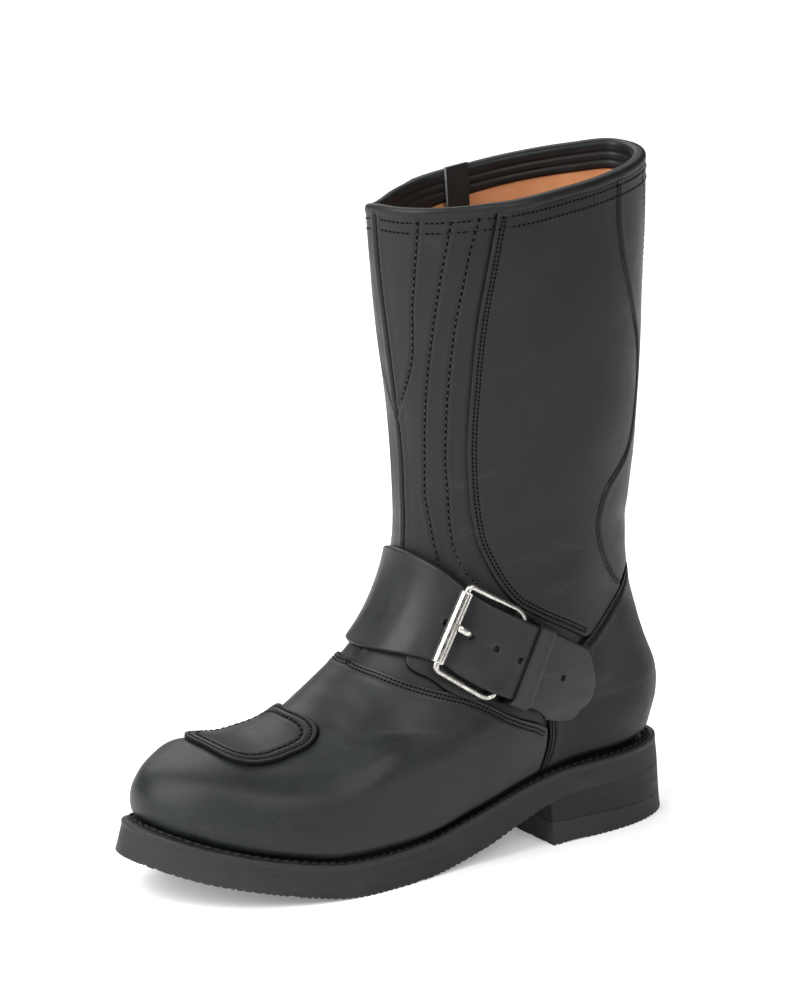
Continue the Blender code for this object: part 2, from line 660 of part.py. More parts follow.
def rounded(corners, radii, steps=5):
    """Closed path with each corner drawn round."""
    path = []
    count = len(corners)
    for i, corner in enumerate(corners):
        before = corner + unit(corners[i - 1] - corner) * radii[i]
        after = corner + unit(corners[(i + 1) % count] - corner) * radii[i]
        for t in np.linspace(0, 1, steps):
            path.append((1 - t) ** 2 * before + 2 * t * (1 - t) * corner + t * t * after)
    return path


def wire(name, path, radius, cyclic, look):
    """Round wire along a path."""
    curve = bpy.data.curves.new(name, "CURVE")
    curve.dimensions = "3D"
    curve.bevel_depth = radius * MM
    curve.bevel_resolution = 2
    curve.use_fill_caps = True
    spline = curve.splines.new("POLY")
    spline.points.add(len(path) - 1)
    for point, place in zip(spline.points, path):
        point.co = (*(place * MM), 1.0)
    spline.use_cyclic_u = cyclic
    obj = bpy.data.objects.new(name, curve)
    curve.materials.append(finish_of(name, look))
    BOOT.objects.link(obj)


def make_buckle():
    """Nickel frame with a roller over the strap, a base bar under it, and a prong."""
    roller_low, roller_high = bar_ends(ROLLER_TURN, ROLLER_ABOVE)
    base_low, base_high = bar_ends(BASE_TURN, -BASE_BELOW)
    corners = [roller_low, roller_high, base_high, base_low]
    wire("buckle_frame", rounded(corners, ROLLER_CORNER_RADII), WIRE_R, True, NICKEL)

    axis = unit(roller_high - roller_low)
    inset = ROLLER_CORNER_RADII[0] + GAP
    ends = np.stack([roller_low + axis * inset, roller_high - axis * inset])
    side = unit(np.cross(axis, np.array([0.0, 0.0, 1.0])))
    up = np.cross(side, axis)
    angle = np.linspace(0, 2 * np.pi, 17)[:, None]
    circle = (side * np.cos(angle) + up * np.sin(angle)) * ROLLER_R
    shell("buckle_roller", ends[:, None] + circle[::-1], ROLLER_SHELL, -1, NICKEL)

    along = axes_at(BASE_TURN)[1]
    places = [(base_low + base_high) / 2 - along * (WIRE_R + 2 * GAP)]
    for turn, height in PRONG_PATH:
        places.append(lifted(strap_level(np.array(turn), 0.0), turn, height))
    wire("buckle_prong", places, PRONG_R, False, NICKEL)


clear_scene()
BOOT = collection("biker_boot")
CUTTERS = collection("cutters")
make_outsole()
make_heel()
make_welt()
make_insole()
make_upper()
make_vamp()
make_toe_patch()
make_counter()
make_side_panel("side_panel_lateral", 1)
make_side_panel("side_panel_medial", -1)
make_back_panel()
make_binding()
make_pull_strap()
make_strap()
make_tab()
make_keeper()
make_buckle()
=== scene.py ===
# %% [markdown]
# A pull-on biker boot for the left foot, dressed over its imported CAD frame.
# The frame gives the true sizes. Every soft piece is worked out again here as a fine
# numpy surface on the same upper, so that seams, rolled edges, stitches and creases can
# be shaped, and then stands for its CAD node. Lengths in the tables are millimetres.

# %% Load the frame
import math

import bmesh
import bpy
import numpy as np
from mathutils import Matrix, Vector


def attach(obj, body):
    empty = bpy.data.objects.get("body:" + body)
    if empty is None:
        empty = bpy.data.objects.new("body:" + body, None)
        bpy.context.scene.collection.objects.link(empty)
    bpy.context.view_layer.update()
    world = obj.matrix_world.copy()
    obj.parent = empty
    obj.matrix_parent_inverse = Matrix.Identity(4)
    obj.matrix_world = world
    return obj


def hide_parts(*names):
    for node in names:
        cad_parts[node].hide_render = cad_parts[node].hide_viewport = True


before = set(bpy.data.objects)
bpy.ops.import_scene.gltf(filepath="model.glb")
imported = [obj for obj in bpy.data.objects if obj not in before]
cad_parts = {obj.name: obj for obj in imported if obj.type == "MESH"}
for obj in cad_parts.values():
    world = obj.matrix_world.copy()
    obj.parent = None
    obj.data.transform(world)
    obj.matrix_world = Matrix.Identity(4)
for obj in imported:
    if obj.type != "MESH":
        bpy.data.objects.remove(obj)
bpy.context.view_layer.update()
MM = 0.001

# %% [markdown]
# A shoemaker starts from the last: length, ball width and a few sections. The tables
# repeat the source's sections, and its seam lines with a few more points, because this
# script reads only the frame.

# %% Sizes and tables of the boot
LENGTH, BALL_WIDTH, SOLE_AT_BALL = 308.3, 100.0, 17.5
TOE_SWING, WAIST_SWING = -6.9, 4.2
RIM_BALL, RIM_WAIST, RIM_HEEL = 51.7, 36.4, 34.3
TOE_FLARE, HEEL_FLARE, GROUND_FLARE = 3.0, 1.0, 2.9
BREAST_Y, LIFT_AT_BREAST, LIFT_AT_BACK = 67.6, 12.5, 9.5
WELT, WALL, GAP, INSOLE = 3.2, 2.2, 0.3, 4.0
STRAP_LEATHER, KEEPER_OVERHANG = 2.6, 1.9
DOME_FROM_Y, DOME_RUN, DOME_FROM_Z, DOME_TALL = -30.0, 40.0, 24.0, 48.0
HUMP, HUMP_Y, HUMP_LONG, HUMP_FADE = 0.9, -112.0, 16.0, 44.0
DOME_SINK, DOME_SIDE_SINK, DOME_MIDDLE, DOME_HALF = 3.2, 7.0, -4.0, 50.0
FLAT_FIRST, FLAT_LAST, FLAT_EASE, FLAT_FROM, FLAT_IN, FLAT_DOWN = 0.03, 0.97, 0.22, 12.0, 10.0, 2.5
FLAT_TILT, TILT_FIRST, TILT_EASE = 10.0, -0.03, 0.25
NOSE_RUN, NOSE_LEG, NOSE_POWER = 0.30, 0.20, 2.2
REAR_RUN, REAR_LEG, REAR_POWER, REAR_LEG_POWER = 0.22, 0.28, 2.3, 0.2
WAIST_FROM, HEEL_FROM, WIDTH_RUN = 0.30, 0.58, 0.28
TOE_RUN, TOE_POWER, WAIST_AT, WAIST_HALF = 0.45, 1.6, 0.55, 0.16


def table(columns, rows):
    """Named columns of a small table, as arrays."""
    return {name: np.array([row[i] for row in rows], float) for i, name in enumerate(columns)}


SOLE = table(("y", "tread", "thick"), [
    (-157.0, 22.2, 17.6), (-134.0, 15.0, 16.8), (-104.0, 8.1, 16.1), (-80.0, 3.2, 16.4),
    (-66.0, 0.9, 16.8), (-52.0, 0.0, 17.2), (-20.0, 0.0, 17.6), (-4.0, 1.3, 17.8),
    (21.0, 6.9, 17.7), (46.0, 16.1, 15.7), (68.0, 22.8, 13.7), (84.0, 25.0, 13.2),
    (111.0, 25.8, 13.0), (157.0, 26.8, 12.9),
])
UPPER = table(("height", "front", "back", "ball", "waist", "heel", "leg", "follow", "rise"), [
    (14.5, -0.466, 0.472, 0.469, 0.322, 0.277, 0.00, 1.00, 0.0),
    (18.5, -0.468, 0.474, 0.474, 0.326, 0.281, 0.00, 1.00, 0.0),
    (30.8, -0.476, 0.484, 0.497, 0.368, 0.313, 0.00, 0.95, 1.0),
    (43.4, -0.470, 0.491, 0.496, 0.389, 0.339, 0.00, 0.85, 0.5),
    (57.6, -0.444, 0.491, 0.490, 0.400, 0.350, 0.00, 0.60, 0.0),
    (65.7, -0.389, 0.489, 0.459, 0.400, 0.356, 0.05, 0.40, 0.0),
    (70.9, -0.315, 0.487, 0.433, 0.401, 0.361, 0.12, 0.25, 1.6),
    (77.4, -0.234, 0.482, 0.416, 0.406, 0.367, 0.25, 0.12, 3.8),
    (89.8, -0.155, 0.467, 0.403, 0.412, 0.373, 0.40, 0.00, 5.0),
    (106.5, -0.085, 0.446, 0.399, 0.417, 0.383, 0.60, 0.00, 5.2),
    (128.7, -0.028, 0.424, 0.404, 0.421, 0.397, 0.80, 0.00, 4.5),
    (158.7, 0.006, 0.418, 0.425, 0.430, 0.421, 1.00, 0.00, 4.3),
    (197.8, 0.007, 0.433, 0.455, 0.449, 0.447, 1.00, 0.00, 5.3),
    (246.7, -0.010, 0.441, 0.484, 0.468, 0.464, 1.00, 0.00, 8.6),
    (296.8, -0.032, 0.449, 0.502, 0.477, 0.467, 1.00, 0.00, 11.5),
    (341.9, -0.048, 0.452, 0.503, 0.470, 0.459, 1.00, 0.00, 13.5),
])
LEVELS = np.arange(len(UPPER["height"]), dtype=float)
TOP, FEATHER = LEVELS[-1], 1.0
PANEL_FRONT = table(("level", "turn"), [
    (9.06, 0.614), (9.20, 0.593), (9.52, 0.540), (9.76, 0.493), (9.94, 0.457), (10.10, 0.423),
    (10.42, 0.372), (10.86, 0.313), (11.26, 0.270), (11.58, 0.252),
    (12.20, 0.239), (13.16, 0.263), (13.72, 0.287), (14.20, 0.313), (15.0, 0.355),
])
BACK_EDGE = table(("level", "turn"), [
    (9.86, 0.765), (10.46, 0.685), (10.96, 0.637), (11.40, 0.627), (11.76, 0.662), (12.04, 0.755),
    (12.42, 0.800), (13.02, 0.787), (13.48, 0.737), (13.96, 0.688), (14.42, 0.667), (15.0, 0.667),
])
COUNTER_TOP = table(("turn", "level"), [
    (0.603, 8.94), (0.67, 9.44), (0.765, 9.88), (0.81, 10.05), (0.88, 10.17), (1.0, 10.24),
])
COUNTER_FRONT = table(("level", "turn"), [
    (1.0, 0.638), (2.64, 0.637), (4.34, 0.623), (6.5, 0.611), (8.94, 0.603),
])
VAMP_TOP = table(("turn", "level"), [
    (0.0, 9.02), (0.147, 8.86), (0.24, 8.60), (0.303, 8.38), (0.343, 8.22), (0.39, 7.98),
    (0.43, 7.68), (0.477, 7.15), (0.537, 6.08), (0.597, 4.44), (0.637, 3.25),
])
STRAP = table(("turn", "low", "high", "lift"), [
    (-0.598, 72.0, 105.5, 3.8), (-0.545, 78.0, 112.0, 3.2), (-0.450, 88.0, 124.0, 2.4),
    (-0.330, 99.0, 137.0, 2.4), (-0.220, 105.0, 148.5, 1.6), (-0.110, 107.7, 155.5, 1.0),
    (0.000, 109.0, 158.3, 1.0), (0.070, 109.3, 158.2, 2.2), (0.127, 109.0, 156.5, 3.8),
    (0.170, 108.6, 153.8, 4.5), (0.270, 105.4, 142.3, 4.6), (0.330, 99.2, 135.4, 6.8),
    (0.385, 93.4, 130.0, 8.7), (0.440, 87.8, 124.6, 9.8), (0.500, 81.5, 118.3, 6.8),
    (0.580, 74.2, 108.0, 4.4), (0.652, 66.5, 98.3, 4.0),
])
print("upper sections:", len(LEVELS), "sole stations:", len(SOLE["y"]))

# %% [markdown]
# Any point of the upper has a level (which section) and a turn (0 at the front centre,
# 1 or -1 at the back centre, positive on the outer side). Smooth cubics through the
# tables carry each size from section to section, as a last maker's templates do. A sculpted
# mesh could give the same form, but a function also tells every panel and stitch where it lies
# and which way is outwards.

# %% The upper as one function


def smooth(tab, by, column, at):
    """Cubic through one column of a table; outside the table the end value holds."""
    x, y = tab[by], tab[column]
    at = np.clip(np.asarray(at, float), x[0], x[-1])
    run = np.diff(x)
    rise = np.diff(y) / run
    slope = np.empty_like(y)
    slope[1:-1] = (rise[:-1] * run[1:] + rise[1:] * run[:-1]) / (x[2:] - x[:-2])
    slope[0], slope[-1] = rise[0], rise[-1]
    i = np.clip(np.searchsorted(x, at, side="right") - 1, 0, len(x) - 2)
    t = (at - x[i]) / run[i]
    start = (1 + 2 * t) * (1 - t) ** 2 * y[i] + t * (1 - t) ** 2 * run[i] * slope[i]
    return start + t * t * (3 - 2 * t) * y[i + 1] + t * t * (t - 1) * run[i] * slope[i + 1]


def ease(t):
    """S-shaped step from 0 to 1: 3t^2 - 2t^3."""
    t = np.clip(t, 0.0, 1.0)
    return t * t * (3 - 2 * t)


def tread(y):
    """Height of the outsole's underside."""
    return np.maximum(smooth(SOLE, "y", "tread", y), 0.0)


def seat(y):
    """Height of the welt's upper face."""
    return tread(y) + smooth(SOLE, "y", "thick", y)


def outline(turn, front, back, ball, waist, heel, leg):
    """Plan of a level: round nose and heel joined by ball, waist and heel half widths."""
    turn = (np.asarray(turn, float) + 1.0) % 2.0 - 1.0
    share = (1 - np.cos(np.pi * np.abs(turn))) / 2
    nose = np.sqrt(1 - np.clip(1 - share / (NOSE_RUN + NOSE_LEG * leg), 0, 1) ** NOSE_POWER)
    rear = np.clip(1 - (1 - share) / (REAR_RUN + REAR_LEG * leg), 0, 1)
    rear = np.sqrt(1 - rear ** (REAR_POWER - REAR_LEG_POWER * leg))
    half = ball + (waist - ball) * ease((share - WAIST_FROM) / WIDTH_RUN)
    half = half + (heel - waist) * ease((share - HEEL_FROM) / WIDTH_RUN)
    swing = TOE_SWING * np.clip(1 - share / TOE_RUN, 0, 1) ** TOE_POWER
    swing = swing + WAIST_SWING * np.exp(-((share - WAIST_AT) / WAIST_HALF) ** 2)
    x = (1 - leg) * swing + np.sign(turn) * half * nose * rear + CENTRE_X
    return x, front + (back - front) * share


def rim(turn, toe_grow, heel_grow):
    """Plan of the sole's edge, grown outwards in front and behind."""
    return outline(turn, -LENGTH / 2 - toe_grow, LENGTH / 2 + heel_grow, RIM_BALL + toe_grow,
                   RIM_WAIST + toe_grow, RIM_HEEL + heel_grow, 0.0)


def surface(level, turn):
    """Point of the upper's outer face, with the domed toe and the flatter inner side of the collar."""
    level, turn = np.broadcast_arrays(np.asarray(level, float), np.asarray(turn, float))
    rows = dict(UPPER, level=LEVELS)
    row = {name: smooth(rows, "level", name, level) for name in UPPER}
    front, back = row["front"] * LENGTH, row["back"] * LENGTH
    x, y = outline(turn, front, back, row["ball"] * BALL_WIDTH, row["waist"] * BALL_WIDTH,
                   row["heel"] * BALL_WIDTH, row["leg"])
    z = row["height"] + row["follow"] * (seat(y) - SOLE_AT_BALL)
    z = z + row["rise"] * ((y - front) / (back - front) - 0.5)
    side = ((x - CENTRE_X - DOME_MIDDLE) / DOME_HALF) ** 2
    hump = HUMP * ease(1 - np.maximum(x - CENTRE_X - DOME_MIDDLE, 0) / HUMP_FADE)
    dome = ease((DOME_FROM_Y - y) / DOME_RUN) * (1 - hump * np.exp(-((y - HUMP_Y) / HUMP_LONG) ** 2))
    dome = dome * ease((z - DOME_FROM_Z) / DOME_TALL)
    z = z - dome * (DOME_SINK + DOME_SIDE_SINK * side)
    inner = -((turn + 1.0) % 2.0 - 1.0)
    high = ease((FLAT_LAST - inner) / FLAT_EASE) * ease((level - FLAT_FROM) / (TOP - FLAT_FROM))
    flat = ease((inner - FLAT_FIRST) / FLAT_EASE) * high
    drop = ease((inner - TILT_FIRST) / TILT_EASE) * high
    return np.stack([x + FLAT_IN * flat, y, z - (FLAT_DOWN + FLAT_TILT * (0.5 - inner)) * drop], -1)


def unit(vectors):
    """Vectors divided by their length."""
    return vectors / np.maximum(np.linalg.norm(vectors, axis=-1, keepdims=True), 1e-9)


TURN_STEP, LEVEL_STEP = 0.002, 0.01


def tangents(level, turn):
    """Directions along the turn and up the levels, per unit of each."""
    level = np.clip(level, 2 * LEVEL_STEP, TOP - 2 * LEVEL_STEP)
    along = (surface(level, turn + TURN_STEP) - surface(level, turn - TURN_STEP)) / (2 * TURN_STEP)
    up = (surface(level + LEVEL_STEP, turn) - surface(level - LEVEL_STEP, turn)) / (2 * LEVEL_STEP)
    return along, up


def normal(level, turn):
    """Outward direction of the upper's face: along the turn crossed with up the levels."""
    along, up = tangents(level, turn)
    return unit(np.cross(along, up))


def lifted(level, turn, lift):
    """Point at a height over the upper's face."""
    level, turn, lift = np.broadcast_arrays(level, turn, lift)
    return surface(level, turn) + normal(level, turn) * lift[..., None]


CENTRE_X = 0.0
EDGE_X = rim(np.linspace(-1, 1, 721), TOE_FLARE, GROUND_FLARE)[0]
CENTRE_X = -(EDGE_X.min() + EDGE_X.max() + KEEPER_OVERHANG) / 2
print("collar front, back (mm):", np.round(surface(TOP, np.array([0.0, 1.0])), 1).tolist())

# %% [markdown]
# The strap leaves the upper where it climbs over the buckle's base, so it has its own
# address: turn along it and across from -1 on its low edge to 1 on its high edge.

# %% The strap over the upper


def level_at(height, turn):
    """Level whose face reaches a height at a turn, by halving the range again and again."""
    height, turn = np.broadcast_arrays(np.asarray(height, float), np.asarray(turn, float))
    low, high = np.full(height.shape, 0.5), np.full(height.shape, TOP)
    for _ in range(26):
        middle = (low + high) / 2
        below = surface(middle, turn)[..., 2] < height
        low, high = np.where(below, middle, low), np.where(below, high, middle)
    return (low + high) / 2


def strap_level(turn, across):
    """Level of a place on the strap."""
    low, high = smooth(STRAP, "turn", "low", turn), smooth(STRAP, "turn", "high", turn)
    return level_at((low + high) / 2 + across * (high - low) / 2, turn)


def strap_point(turn, across, above):
    """Point at a height over the strap's underside."""
    turn, across, above = np.broadcast_arrays(np.asarray(turn, float), across, above)
    return lifted(strap_level(turn, across), turn, smooth(STRAP, "turn", "lift", turn) + above)


print("strap middle at the front (mm):", np.round(strap_point(0.0, 0.0, 0.0), 1).tolist())

# %% [markdown]
# Leather is cut as sheets. A sheet here is two grids of the same size, the grain side and
# the flesh side, closed round the edge into one solid. The quads run along the columns and
# then up the rows, so that the grain side faces outwards. A Solidify modifier could give the
# thickness too, but two grids let the grain side carry relief that the flesh side has not.

# %% Grids into meshes


def quads_of(index, flip=False):
    """Quads of a grid of vertex numbers."""
    a, b, c, d = index[:-1, :-1], index[:-1, 1:], index[1:, 1:], index[1:, :-1]
    order = (a, d, c, b) if flip else (a, b, c, d)
    return np.stack([part.ravel() for part in order], -1)


WELD, EDGE_LEFT = 0.002, 0.2


def add_object(name, data):
    """New object in the scene."""
    obj = bpy.data.objects.new(name, data)
    bpy.context.scene.collection.objects.link(obj)
    return obj


def add_mesh(name, points, quads, sharp=40.0, closed=True, weld=True):
    """Object at the origin from points in millimetres and quads; a closed one faces outwards."""
    a, b, c, d = (np.asarray(points)[quads[:, k]] for k in range(4))
    volume = (a * np.cross(b, c)).sum() + (a * np.cross(c, d)).sum()
    if closed and volume < 0:
        quads = quads[:, ::-1]
    mesh = bpy.data.meshes.new(name)
    mesh.vertices.add(len(points))
    mesh.vertices.foreach_set("co", (np.asarray(points) * MM).astype(np.float32).ravel())
    mesh.loops.add(quads.size)
    mesh.loops.foreach_set("vertex_index", quads.astype(np.int32).ravel())
    mesh.polygons.add(len(quads))
    mesh.polygons.foreach_set("loop_start", np.arange(0, quads.size, 4, dtype=np.int32))
    mesh.update(calc_edges=True)
    if weld:
        joined = bmesh.new()
        joined.from_mesh(mesh)
        bmesh.ops.remove_doubles(joined, verts=joined.verts, dist=WELD * MM)
        joined.to_mesh(mesh)
        joined.free()
    mesh.validate()
    mesh.shade_smooth()
    mesh.set_sharp_from_angle(angle=math.radians(sharp))
    return add_object(name, mesh)


def closed_sheet(name, outer, inner):
    """Solid between a grain-side grid and a flesh-side grid, with walls round the edge."""
    rows, columns = outer.shape[:2]
    out = np.arange(rows * columns).reshape(rows, columns)
    back = out + rows * columns
    walls = [
        quads_of(np.stack([back[0], out[0]])), quads_of(np.stack([out[-1], back[-1]])),
        quads_of(np.stack([back[:, 0], out[:, 0]], -1)), quads_of(np.stack([out[:, -1], back[:, -1]], -1)),
    ]
    quads = np.concatenate([quads_of(out), quads_of(back, flip=True)] + walls)
    return add_mesh(name, np.concatenate([outer.reshape(-1, 3), inner.reshape(-1, 3)]), quads)


def closed_ring(name, rings, sharp=40.0, joined=True):
    """Solid from sections that each run all the way round; the last joins the first, or both end."""
    rings = np.asarray(rings)
    index = np.arange(rings.shape[0] * rings.shape[1]).reshape(rings.shape[:2])
    index = np.concatenate([index, index[:1]]) if joined else index
    index = np.concatenate([index, index[:, :1]], 1)
    return add_mesh(name, rings.reshape(-1, 3), quads_of(index), sharp)


def spread(width, step, edge=(0.0, 0.25, 0.55, 0.95, 1.5, 2.1, 2.7, 3.3, 3.9, 4.5, 5.2, 6.0, 7.0, 8.2)):
    """Shares from 0 to 1 that crowd at both ends, where edges roll and stitches run."""
    edge = np.array(edge)
    edge = edge[edge < width * 0.4]
    middle = np.linspace(edge[-1], width - edge[-1], max(int((width - 2 * edge[-1]) / step), 2) + 1)
    return np.concatenate([edge[:-1], middle, (width - edge[::-1])[1:]]) / width


def distance(points, path, limit=60000000):
    """Distance from each point to a path of straight pieces, in blocks of points."""
    start, step = path[:-1], np.diff(path, axis=0)
    long = np.maximum((step ** 2).sum(-1), 1e-9)
    flat = points.reshape(-1, 3)
    block = max(1, limit // (len(step) * 24))
    found = [np.empty(0)]
    for first in range(0, len(flat), block):
        off = flat[first:first + block, None] - start
        t = np.clip((off * step).sum(-1) / long, 0, 1)
        found.append(np.sqrt(((off - step * t[..., None]) ** 2).sum(-1).min(1)))
    return np.concatenate(found).reshape(points.shape[:-1])


def border(points):
    """Path all the way round a grid's edge."""
    return np.concatenate([points[0], points[1:, -1], points[-1, -2::-1], points[-2::-1, 0]])


def rolled(gap, radius):
    """Share of the thickness at a distance from a cut edge: a quarter round."""
    return EDGE_LEFT + (1 - EDGE_LEFT) * np.sqrt(1 - np.clip(1 - gap / radius, 0, 1) ** 2)


print("mesh helpers ready")

# %% [markdown]
# Worn leather is never quite flat. The main folds are listed one by one: each is a soft trough
# with a low ridge on both sides, at a level and turn of the boot, leaning by some degrees
# from the horizontal. Broad, shallow waves take away the machine-made evenness. A sculpting
# brush could press the folds in, but a formula bends shell, panels and threads alike.

# %% Creases and broad waves
CREASES = table(("level", "turn", "lean", "reach", "half", "depth", "bow"), [
    (6.45, 0.00, 0.0, 30.0, 12.0, 0.20, 0.0000),
    (8.30, 0.02, 0.0, 34.0, 4.5, 0.25, 0.0020),
    (7.86, 0.04, 0.0, 30.0, 5.0, 0.23, 0.0030),
    (7.10, 0.30, -38.0, 26.0, 6.0, 0.12, 0.0000),
    (5.60, 0.40, -52.0, 24.0, 7.0, 0.10, 0.0000),
    (4.00, 0.47, -60.0, 20.0, 6.0, 0.08, 0.0000),
    (7.10, -0.30, 38.0, 26.0, 6.0, 0.15, 0.0000),
    (5.60, -0.42, 52.0, 24.0, 7.0, 0.12, 0.0000),
    (11.10, 0.08, 6.0, 24.0, 4.0, 0.17, 0.0000),
    (11.35, 0.36, 14.0, 26.0, 6.0, 0.25, 0.0000),
    (10.80, 0.50, 24.0, 24.0, 6.0, 0.28, 0.0000),
    (11.40, -0.38, -12.0, 26.0, 6.0, 0.25, 0.0000),
    (10.80, -0.52, -22.0, 24.0, 6.0, 0.28, 0.0000),
    (11.10, 0.90, 4.0, 26.0, 5.0, 0.30, 0.0000),
    (11.60, 1.05, -6.0, 26.0, 6.0, 0.25, 0.0000),
    (12.55, 0.46, 80.0, 34.0, 13.0, 0.30, 0.0000),
    (13.40, 0.58, 84.0, 30.0, 12.0, 0.25, 0.0000),
    (13.20, -0.50, -82.0, 36.0, 13.0, 0.30, 0.0000),
])
WAVES = ((0.071, 0.043, 0.052, 0.4), (-0.038, 0.081, 0.066, 1.7), (0.055, -0.062, 0.094, 3.1))
WAVE_HEIGHT = 0.16
TUCK_DEPTH, TUCK_TALL = 2.6, 7.0
RIDGE_SHARE, RIDGE_AT, FOLD_FADE = 0.45, 1.9, 2.2


def relief(points):
    """Sum of the folds and waves: depth x fade along the fold x (trough - ridges) across it.

    Close over the welt the leather tucks in, which leaves a dark channel."""
    total = np.zeros(points.shape[:-1])
    for level, turn, lean, reach, half, depth, bow in zip(*CREASES.values()):
        along, up = (unit(v) for v in tangents(np.array(level), np.array(turn)))
        cosine, sine = math.cos(math.radians(lean)), math.sin(math.radians(lean))
        off = points - surface(level, turn)
        run = off @ (along * cosine + up * sine)
        across = (off @ (up * cosine - along * sine) + bow * run ** 2) / half
        ridges = RIDGE_SHARE * (np.exp(-(across - RIDGE_AT) ** 2) + np.exp(-(across + RIDGE_AT) ** 2))
        near = np.exp(-((off ** 2).sum(-1) / (FOLD_FADE * reach) ** 2) ** 2)
        total -= depth * np.exp(-(run / reach) ** 2) * (np.exp(-across ** 2) - ridges) * near
    for x, y, z, phase in WAVES:
        total += WAVE_HEIGHT * np.sin(points @ np.array([x, y, z]) + phase)
    above = points[..., 2] - seat(points[..., 1])
    return total - TUCK_DEPTH * ease(1 - above / TUCK_TALL)


print("folds placed:", len(CREASES["level"]))

# %% [markdown]
# A seam is a line on the upper. Moving a line sideways by a few millimetres means finding the
# small change of level and turn that gives that step on the surface. A stitch is a short
# thick thread whose ends dive into the leather; its holes are tiny spots of painted shade. An Array
# modifier along a curve could lay them, but whole arrays keep each thread small and its pitch even.

# %% Seam lines and stitches
OFFSET_STEPS = 5


def offset_line(level, turn, gap):
    """Line moved sideways on the upper in small steps, to the left of its run for a positive gap."""
    for _ in range(OFFSET_STEPS):
        along, up = tangents(level, turn)
        run = unit(np.gradient(surface(level, turn), axis=0))
        step = np.cross(unit(np.cross(along, up)), run) * gap / OFFSET_STEPS
        aa, uu, au = (along ** 2).sum(-1), (up ** 2).sum(-1), (along * up).sum(-1)
        sa, su = (step * along).sum(-1), (step * up).sum(-1)
        det = aa * uu - au ** 2
        level, turn = level + (su * aa - sa * au) / det, turn + (sa * uu - su * au) / det
    return level, turn


def on_upper(level, turn, lift):
    """Path at a height over the creased upper, with its outward directions."""
    base, out = surface(level, turn), normal(level, turn)
    return base + out * (lift + relief(base))[:, None], out


HEX = np.arange(6) * math.pi / 3
STITCH_U = np.array([0.0, 0.18, 0.5, 0.82, 1.0])
STITCH_FAT = np.array([0.55, 0.92, 1.0, 0.92, 0.55])
STITCH_RISE = np.array([-0.75, 0.2, 0.5, 0.2, -0.75])
HOLE_LONG, HOLE_PROUD, NEAR_HOLE, ROUND_ANGLE = 1.3, 0.05, 0.4, 80.0


def run_of(path):
    """Length along a path at each of its points."""
    return np.concatenate([[0.0], np.cumsum(np.linalg.norm(np.diff(path, axis=0), axis=1))])


def at_run(where, run, vectors):
    """Vectors of a path at lengths along it."""
    return np.stack([np.interp(where, run, vectors[:, k]) for k in range(3)], -1)


def stitch_rows(rows, pitch, radius, fill, hole):
    """Threads, and spots of painted shade at the holes, along paths: each thread is five rings of six points
    on its own axis.
    """
    threads, holes = [], []
    for path, out in rows:
        run = run_of(path)
        count = max(int(round(run[-1] / pitch)), 1)
        step = run[-1] / count
        middle = (np.arange(count) + 0.5) * step
        where = middle[:, None] + (STITCH_U - 0.5) * step * fill
        core = at_run(where, run, path)
        axis = unit(core[:, -1] - core[:, 0])[:, None]
        up = unit(at_run(middle, run, out))[:, None]
        side = np.cross(axis, up)
        core = core + up * (STITCH_RISE * radius)[:, None]
        circle = up[:, :, None] * np.cos(HEX)[:, None] + side[:, :, None] * np.sin(HEX)[:, None]
        threads.append((core[:, :, None] + circle * (STITCH_FAT * radius)[:, None, None]).reshape(-1, 3))
        ends = np.arange(count + 1) * step
        spot, lift = at_run(ends, run, path)[:, None], unit(at_run(ends, run, out))[:, None]
        after, before = np.minimum(ends + NEAR_HOLE, run[-1]), np.maximum(ends - NEAR_HOLE, 0.0)
        ahead = unit(at_run(after, run, path) - at_run(before, run, path))[:, None]
        flat = ahead * np.cos(HEX)[:, None] * HOLE_LONG + np.cross(lift, ahead) * np.sin(HEX)[:, None]
        holes.append((spot + lift * HOLE_PROUD + flat * hole).reshape(-1, 3))
    return np.concatenate(threads), np.concatenate(holes)


def thread_mesh(name, points):
    """Mesh of many threads: five rings of six points each, closed at both ends."""
    ring = np.arange(30).reshape(5, 6)
    one = np.concatenate([
        quads_of(np.concatenate([ring, ring[:, :1]], 1), flip=True),
        ring[0, [0, 1, 2, 3]][None], ring[0, [0, 3, 4, 5]][None],
        ring[4, [3, 2, 1, 0]][None], ring[4, [5, 4, 3, 0]][None],
    ])
    quads = (np.arange(len(points) // 30)[:, None, None] * 30 + one).reshape(-1, 4)
    return add_mesh(name, points, quads, ROUND_ANGLE, weld=False)


def shade_spot_mesh(name, points):
    """Mesh of many small six-sided spots of painted shade."""
    one = np.array([[0, 1, 2, 3], [0, 3, 4, 5]])
    quads = (np.arange(len(points) // 6)[:, None, None] * 6 + one).reshape(-1, 4)
    return add_mesh(name, points, quads, ROUND_ANGLE, closed=False, weld=False)


print("stitch helpers ready")

# %% [markdown]
# Finishes. Oiled leather is matt with a soft sheen, cloudy in tone, with a fine grain and a
# few rubbed streaks. One node group gives grain height, cloud and rub, and every leather uses
# it with its own colours. Rubber and nickel have groups of their own; threads, the dark edge bands
# (dye with painted shade) and the spots of painted shade at stitch holes borrow the rubber's.
# Pictures could give the grain too, but noise on Object coordinates has no seams and runs on from panel to
# panel.

# %% Node helpers and shared effects


def put(tree, kind, inputs, **settings):
    """Node with its settings, and its inputs linked or set by name or number."""
    node = tree.nodes.new(kind)
    for name, value in settings.items():
        setattr(node, name, value)
    for name, value in inputs.items():
        if isinstance(value, bpy.types.NodeSocket):
            tree.links.new(value, node.inputs[name])
        else:
            node.inputs[name].default_value = value
    return node


def maths(tree, operation, first, second, clamp=False):
    """One Math node's result."""
    return put(tree, "ShaderNodeMath", {0: first, 1: second}, operation=operation, use_clamp=clamp).outputs[0]


